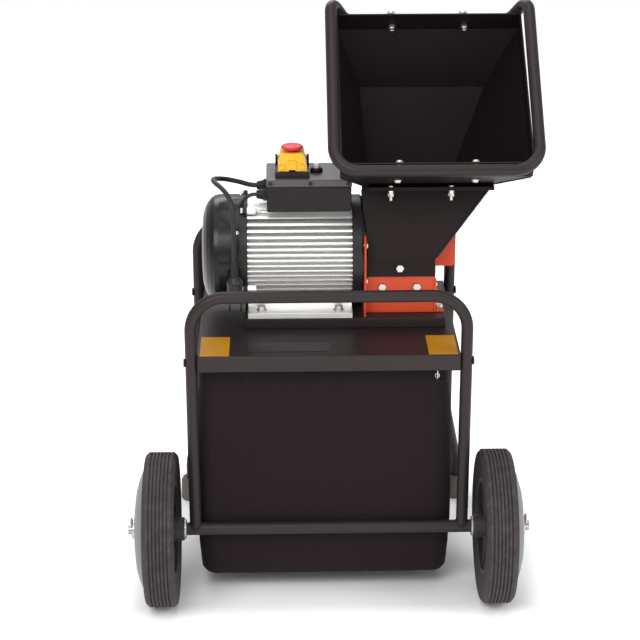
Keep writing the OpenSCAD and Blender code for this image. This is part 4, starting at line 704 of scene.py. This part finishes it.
# eyelets in the hem, each with a wire hook up to the deck; the photograph shows none at the left front corner
eyelets = {"x": 172, "z": 384, "wire": 2.0, "proud": 0.6, "corners": ((1, -1), (1, 1), (-1, 1)),
           "ring": [(2.5, -0.6), (2.5, 0.8), (3.0, 1.3), (3.8, 1.2), (4.4, 0.4), (4.4, -0.6)],
           "hook": [(9, 385), (4, 380), (-2, 378.5), (-6, 382), (-7, 390), (-6.5, 402), (-6, 415), (-6, 428)]}


def makeEyelets(v):
    rings, wires = bmesh.new(), bmesh.new()
    for sx, sy in v["corners"]:
        face = sack["middleY"] + sy * (sack["halfY"] + v["proud"])
        ring = turnedMesh("eyelet", v["ring"] + v["ring"][:1], spot(sx * v["x"], face, v["z"]), (0, sy, 0), 32)
        rings.from_mesh(ring)
        route = smoothRoute([spot(sx * v["x"], face - sy * d, z) for d, z in v["hook"]], 4)
        holder = tubeCurve("hook", route, v["wire"], 4)
        wires.from_mesh(bpy.data.meshes.new_from_object(holder))
        bpy.data.objects.remove(holder)
    for name, mesh in (("sackEyelets", rings), ("sackWireHooks", wires)):
        bmesh.ops.remove_doubles(mesh, verts=mesh.verts, dist=1e-6)
        done = bpy.data.meshes.new(name)
        mesh.to_mesh(done)
        mesh.free()
        addPiece(name, done, "zincPlate")


makeSack(sack)
makeStitches(stitching)
makeEyelets(eyelets)
print("sack made")


# small screws of the switch box lid and of the fan cover
screws = {"lidX": (-89.5, -26, 34.5), "lidZ": 665, "lidY": (139, 238), "fanX": -143.5, "fanRadius": 90,
          "shaft": (197, 537), "fanTurns": (35, 145, 215, 325)}


def makeScrews(v):
    lid, fan = [], []
    for x in v["lidX"]:
        for y, out in zip(v["lidY"], (-1, 1)):
            lid.append((spot(x, y, v["lidZ"]), (0, out, 0), (math.cos(x), 0, math.sin(x))))
    for turn in v["fanTurns"]:
        a = math.radians(turn)
        out = Vector((0, math.cos(a), math.sin(a)))
        y, z = v["shaft"]
        fan.append((spot(v["fanX"], y + out.y * v["fanRadius"], z + out.z * v["fanRadius"]), out, (1, 0, 0)))
    rowOf("lidScrews", smallShapes["crossScrew"], lid, "shieldPaint", smooth=30)
    rowOf("fanScrews", smallShapes["crossScrew"], fan, "zincPlate", smooth=30)


# raised grip tabs on the front of the switch flap: middle, width, low and high edge, height over the face
flapTabs = {"front": 151.8, "slope": 0.9, "cut": 1.5, "sunk": 0.4,
            "tabs": [(-54.5, 13, 684, 699, 1.1), (-70.5, 8, 683.5, 693, 0.8), (-38.5, 8, 683.5, 693, 0.8)]}


def makeFlapTabs(v):
    points, faces = [], []
    for middleX, width, low, high, proud in v["tabs"]:
        here = len(points)
        for inset, out in ((0, -v["sunk"]), (0, proud * 0.5), (v["slope"], proud)):
            w, foot, head = width / 2 - inset, low + inset, high - inset
            for x, z in ((-w, foot), (w, foot), (w, head - v["cut"]), (w - v["cut"], head), (v["cut"] - w, head),
                         (-w, head - v["cut"])):
                points.append(spot(middleX + x, v["front"] - out, z))
        for row in (here, here + 6):
            faces += [(row + i, row + (i + 1) % 6, row + 6 + (i + 1) % 6, row + 6 + i) for i in range(6)]
        faces += [tuple(here + i for i in range(6)), tuple(here + 12 + i for i in range(6))]
    return addPiece("flapTabs", meshFrom("flapTabs", points, faces), "yellowPlastic", "flap", 25)


# weld beads: where the uprights meet the axle tube, and along the corners of hopper, funnel and cutter housing
welds = {"pitch": 1.9, "upright": 216, "tube": 9.5, "axleTube": 10.25, "axle": 125, "ringBeads": 38, "lift": 0.2,
         "tilt": 38, "joint": (162.5, 250, 714), "mouthX": 169, "jointHalf": (106, 100), "mouthHalf": (150, 149),
         "taper": 90, "funnelLow": ((67.5, 176), (130, 264), 541), "housing": (176, (132.5, 261.5), 453, 508)}


def makeWelds(v):
    black, orange = [], []

    def line(a, b, out, into, skip=0.03):
        a, b = Vector(a), Vector(b)
        n = max(2, int((b - a).length / v["pitch"]))
        way = (b - a).normalized()
        for k in range(int(n * skip), int(n * (1 - skip))):
            into.append((spot(*a.lerp(b, k / n)), Vector(out).normalized(), way))

    tilt = Matrix.Rotation(math.radians(v["tilt"]), 3, "X")
    for sx in (-1, 1):
        for k in range(v["ringBeads"]):
            t = 2 * math.pi * k / v["ringBeads"]
            ring = Vector((math.cos(t), math.sin(t), 0))
            z = v["axle"] + math.sqrt(v["axleTube"] ** 2 - (v["tube"] * ring.y) ** 2)
            p = Vector((sx * v["upright"], 0, z)) + ring * (v["tube"] + v["lift"])
            black.append((spot(*p), (ring + Vector((0, 0, 0.8))).normalized(), (-ring.y, ring.x, 0)))
        for sy in (-1, 1):
            (jx, jy), (mx, my) = v["jointHalf"], v["mouthHalf"]
            foot = Vector(v["joint"]) + tilt @ Vector((sx * jx, sy * jy, 0))
            brim = Vector((v["mouthX"], *v["joint"][1:])) + tilt @ Vector((sx * mx, sy * my, v["taper"]))
            line(foot, brim, tilt @ Vector((sx, sy, -0.45)), black)
            xs, ys, z = v["funnelLow"]
            line((xs[(sx + 1) // 2], ys[(sy + 1) // 2], z), foot, (sx, sy, 0), black, 0.05)
    x, ys, low, high = v["housing"]
    for y, sy in zip(ys, (-1, 1)):
        line((x, y, low), (x, y, high), (1, sy, 0), orange)
    for name, spots, finish, slot in (("blackWelds", black, "sheetCoat", "sheet_paint"),
                                      ("orangeWelds", orange, "orangeEnamel", "orange_paint")):
        rowOf(name, smallShapes["weldRipple"], spots, finish, spread=0.12, smooth=60)


makeScrews(screws)
makeFlapTabs(flapTabs)
makeWelds(welds)
print("screws and welds made")


# stage and light; each lamp with its place, aim, size and energy, in metres and watts
light = {"world": 0.56, "floorHalf": 14, "floorGlow": 0.42, "shadowAt": (0, 0.03), "shadowHalf": (0.3, 0.18),
         "shadowFade": 0.09,
         "lamps": [("key", (-1.1, -2.3, 2.5), (0, 0, 0.45), (1.8, 1.4), 55),
                   ("fill", (2.2, -1.4, 1.7), (0, 0, 0.5), (1.2, 1.6), 24),
                   ("rim", (-0.4, 2.4, 2.4), (0, 0, 0.5), (2.0, 1.2), 30),
                   ("top", (0, -0.2, 3.2), (0, 0, 0), (2.4, 2.0), 26),
                   ("low", (0.3, -2.3, 0.35), (0.12, 0, 0.7), (1.0, 0.5), 6)]}


def setStage(v):
    world = bpy.data.worlds.new("studio")
    scene.world = world
    world.use_nodes = True
    tree = world.node_tree
    background = tree.nodes["Background"]
    rays = tree.nodes.new("ShaderNodeLightPath")
    seen = tree.nodes.new("ShaderNodeMath")
    seen.operation = "MAXIMUM"
    tree.links.new(rays.outputs["Is Camera Ray"], seen.inputs[0])
    tree.links.new(rays.outputs["Is Transmission Ray"], seen.inputs[1])
    level = tree.nodes.new("ShaderNodeMapRange")
    level.inputs["To Min"].default_value = v["world"]
    level.inputs["To Max"].default_value = 1.0
    tree.links.new(seen.outputs[0], level.inputs["Value"])
    tree.links.new(level.outputs[0], background.inputs["Strength"])
    background.inputs["Color"].default_value = (1, 1, 1, 1)
    scene.view_settings.view_transform = "Standard"

    floor = bpy.data.meshes.new("floor")
    s = v["floorHalf"]
    floor.from_pydata([(-s, -s, 0), (s, -s, 0), (s, s, 0), (-s, s, 0)], [], [(0, 1, 2, 3)])
    ground = bpy.data.objects.new("floor", floor)
    scene.collection.objects.link(ground)
    f = Finish("paleFloor", Roughness=0.8, Specular_IOR_Level=0.1, Emission_Strength=1.0)
    x, y = (f.add("ShaderNodeSeparateXYZ", {}, {0: f.place}, axis) for axis in ("X", "Y"))
    # the floor's glow is held back over a soft rectangle under the machine, which leaves a painted shadow there
    reach = [f.add("ShaderNodeMath", {"operation": "ABSOLUTE"}, {0: c - at}) - half
             for c, at, half in zip((x, y), v["shadowAt"], v["shadowHalf"])]
    most = f.add("ShaderNodeMath", {"operation": "MAXIMUM"}, {0: reach[0], 1: reach[1]})
    far = f.step(most, 0.0, v["shadowFade"])
    eye = [f.add("ShaderNodeLightPath", out=k) for k in ("Is Camera Ray", "Is Glossy Ray", "Is Transmission Ray")]
    seen = f.add("ShaderNodeMath", {"operation": "MINIMUM"}, {0: eye[0] + eye[1] + eye[2], 1: 1.0})
    glow = f.mix(far * seen, (0, 0, 0, 1), (v["floorGlow"],) * 3 + (1,))
    f.set(Base_Color=f.mix(f.cloud(1.2), shade("f4f4f4"), shade("f8f8f8")), Emission_Color=glow)
    floor.materials.append(f.material)


def areaLight(name, at, aim, size, energy):
    lamp = bpy.data.lights.new(name, "AREA")
    lamp.shape, lamp.size, lamp.size_y, lamp.energy = "RECTANGLE", size[0], size[1], energy
    holder = bpy.data.objects.new(name, lamp)
    turn = (Vector(aim) - Vector(at)).to_track_quat("-Z", "Y").to_matrix().to_4x4()
    holder.matrix_world = Matrix.Translation(Vector(at)) @ turn
    scene.collection.objects.link(holder)


setStage(light)
for lamp in light["lamps"]:
    areaLight(*lamp)
print("stage and light set")
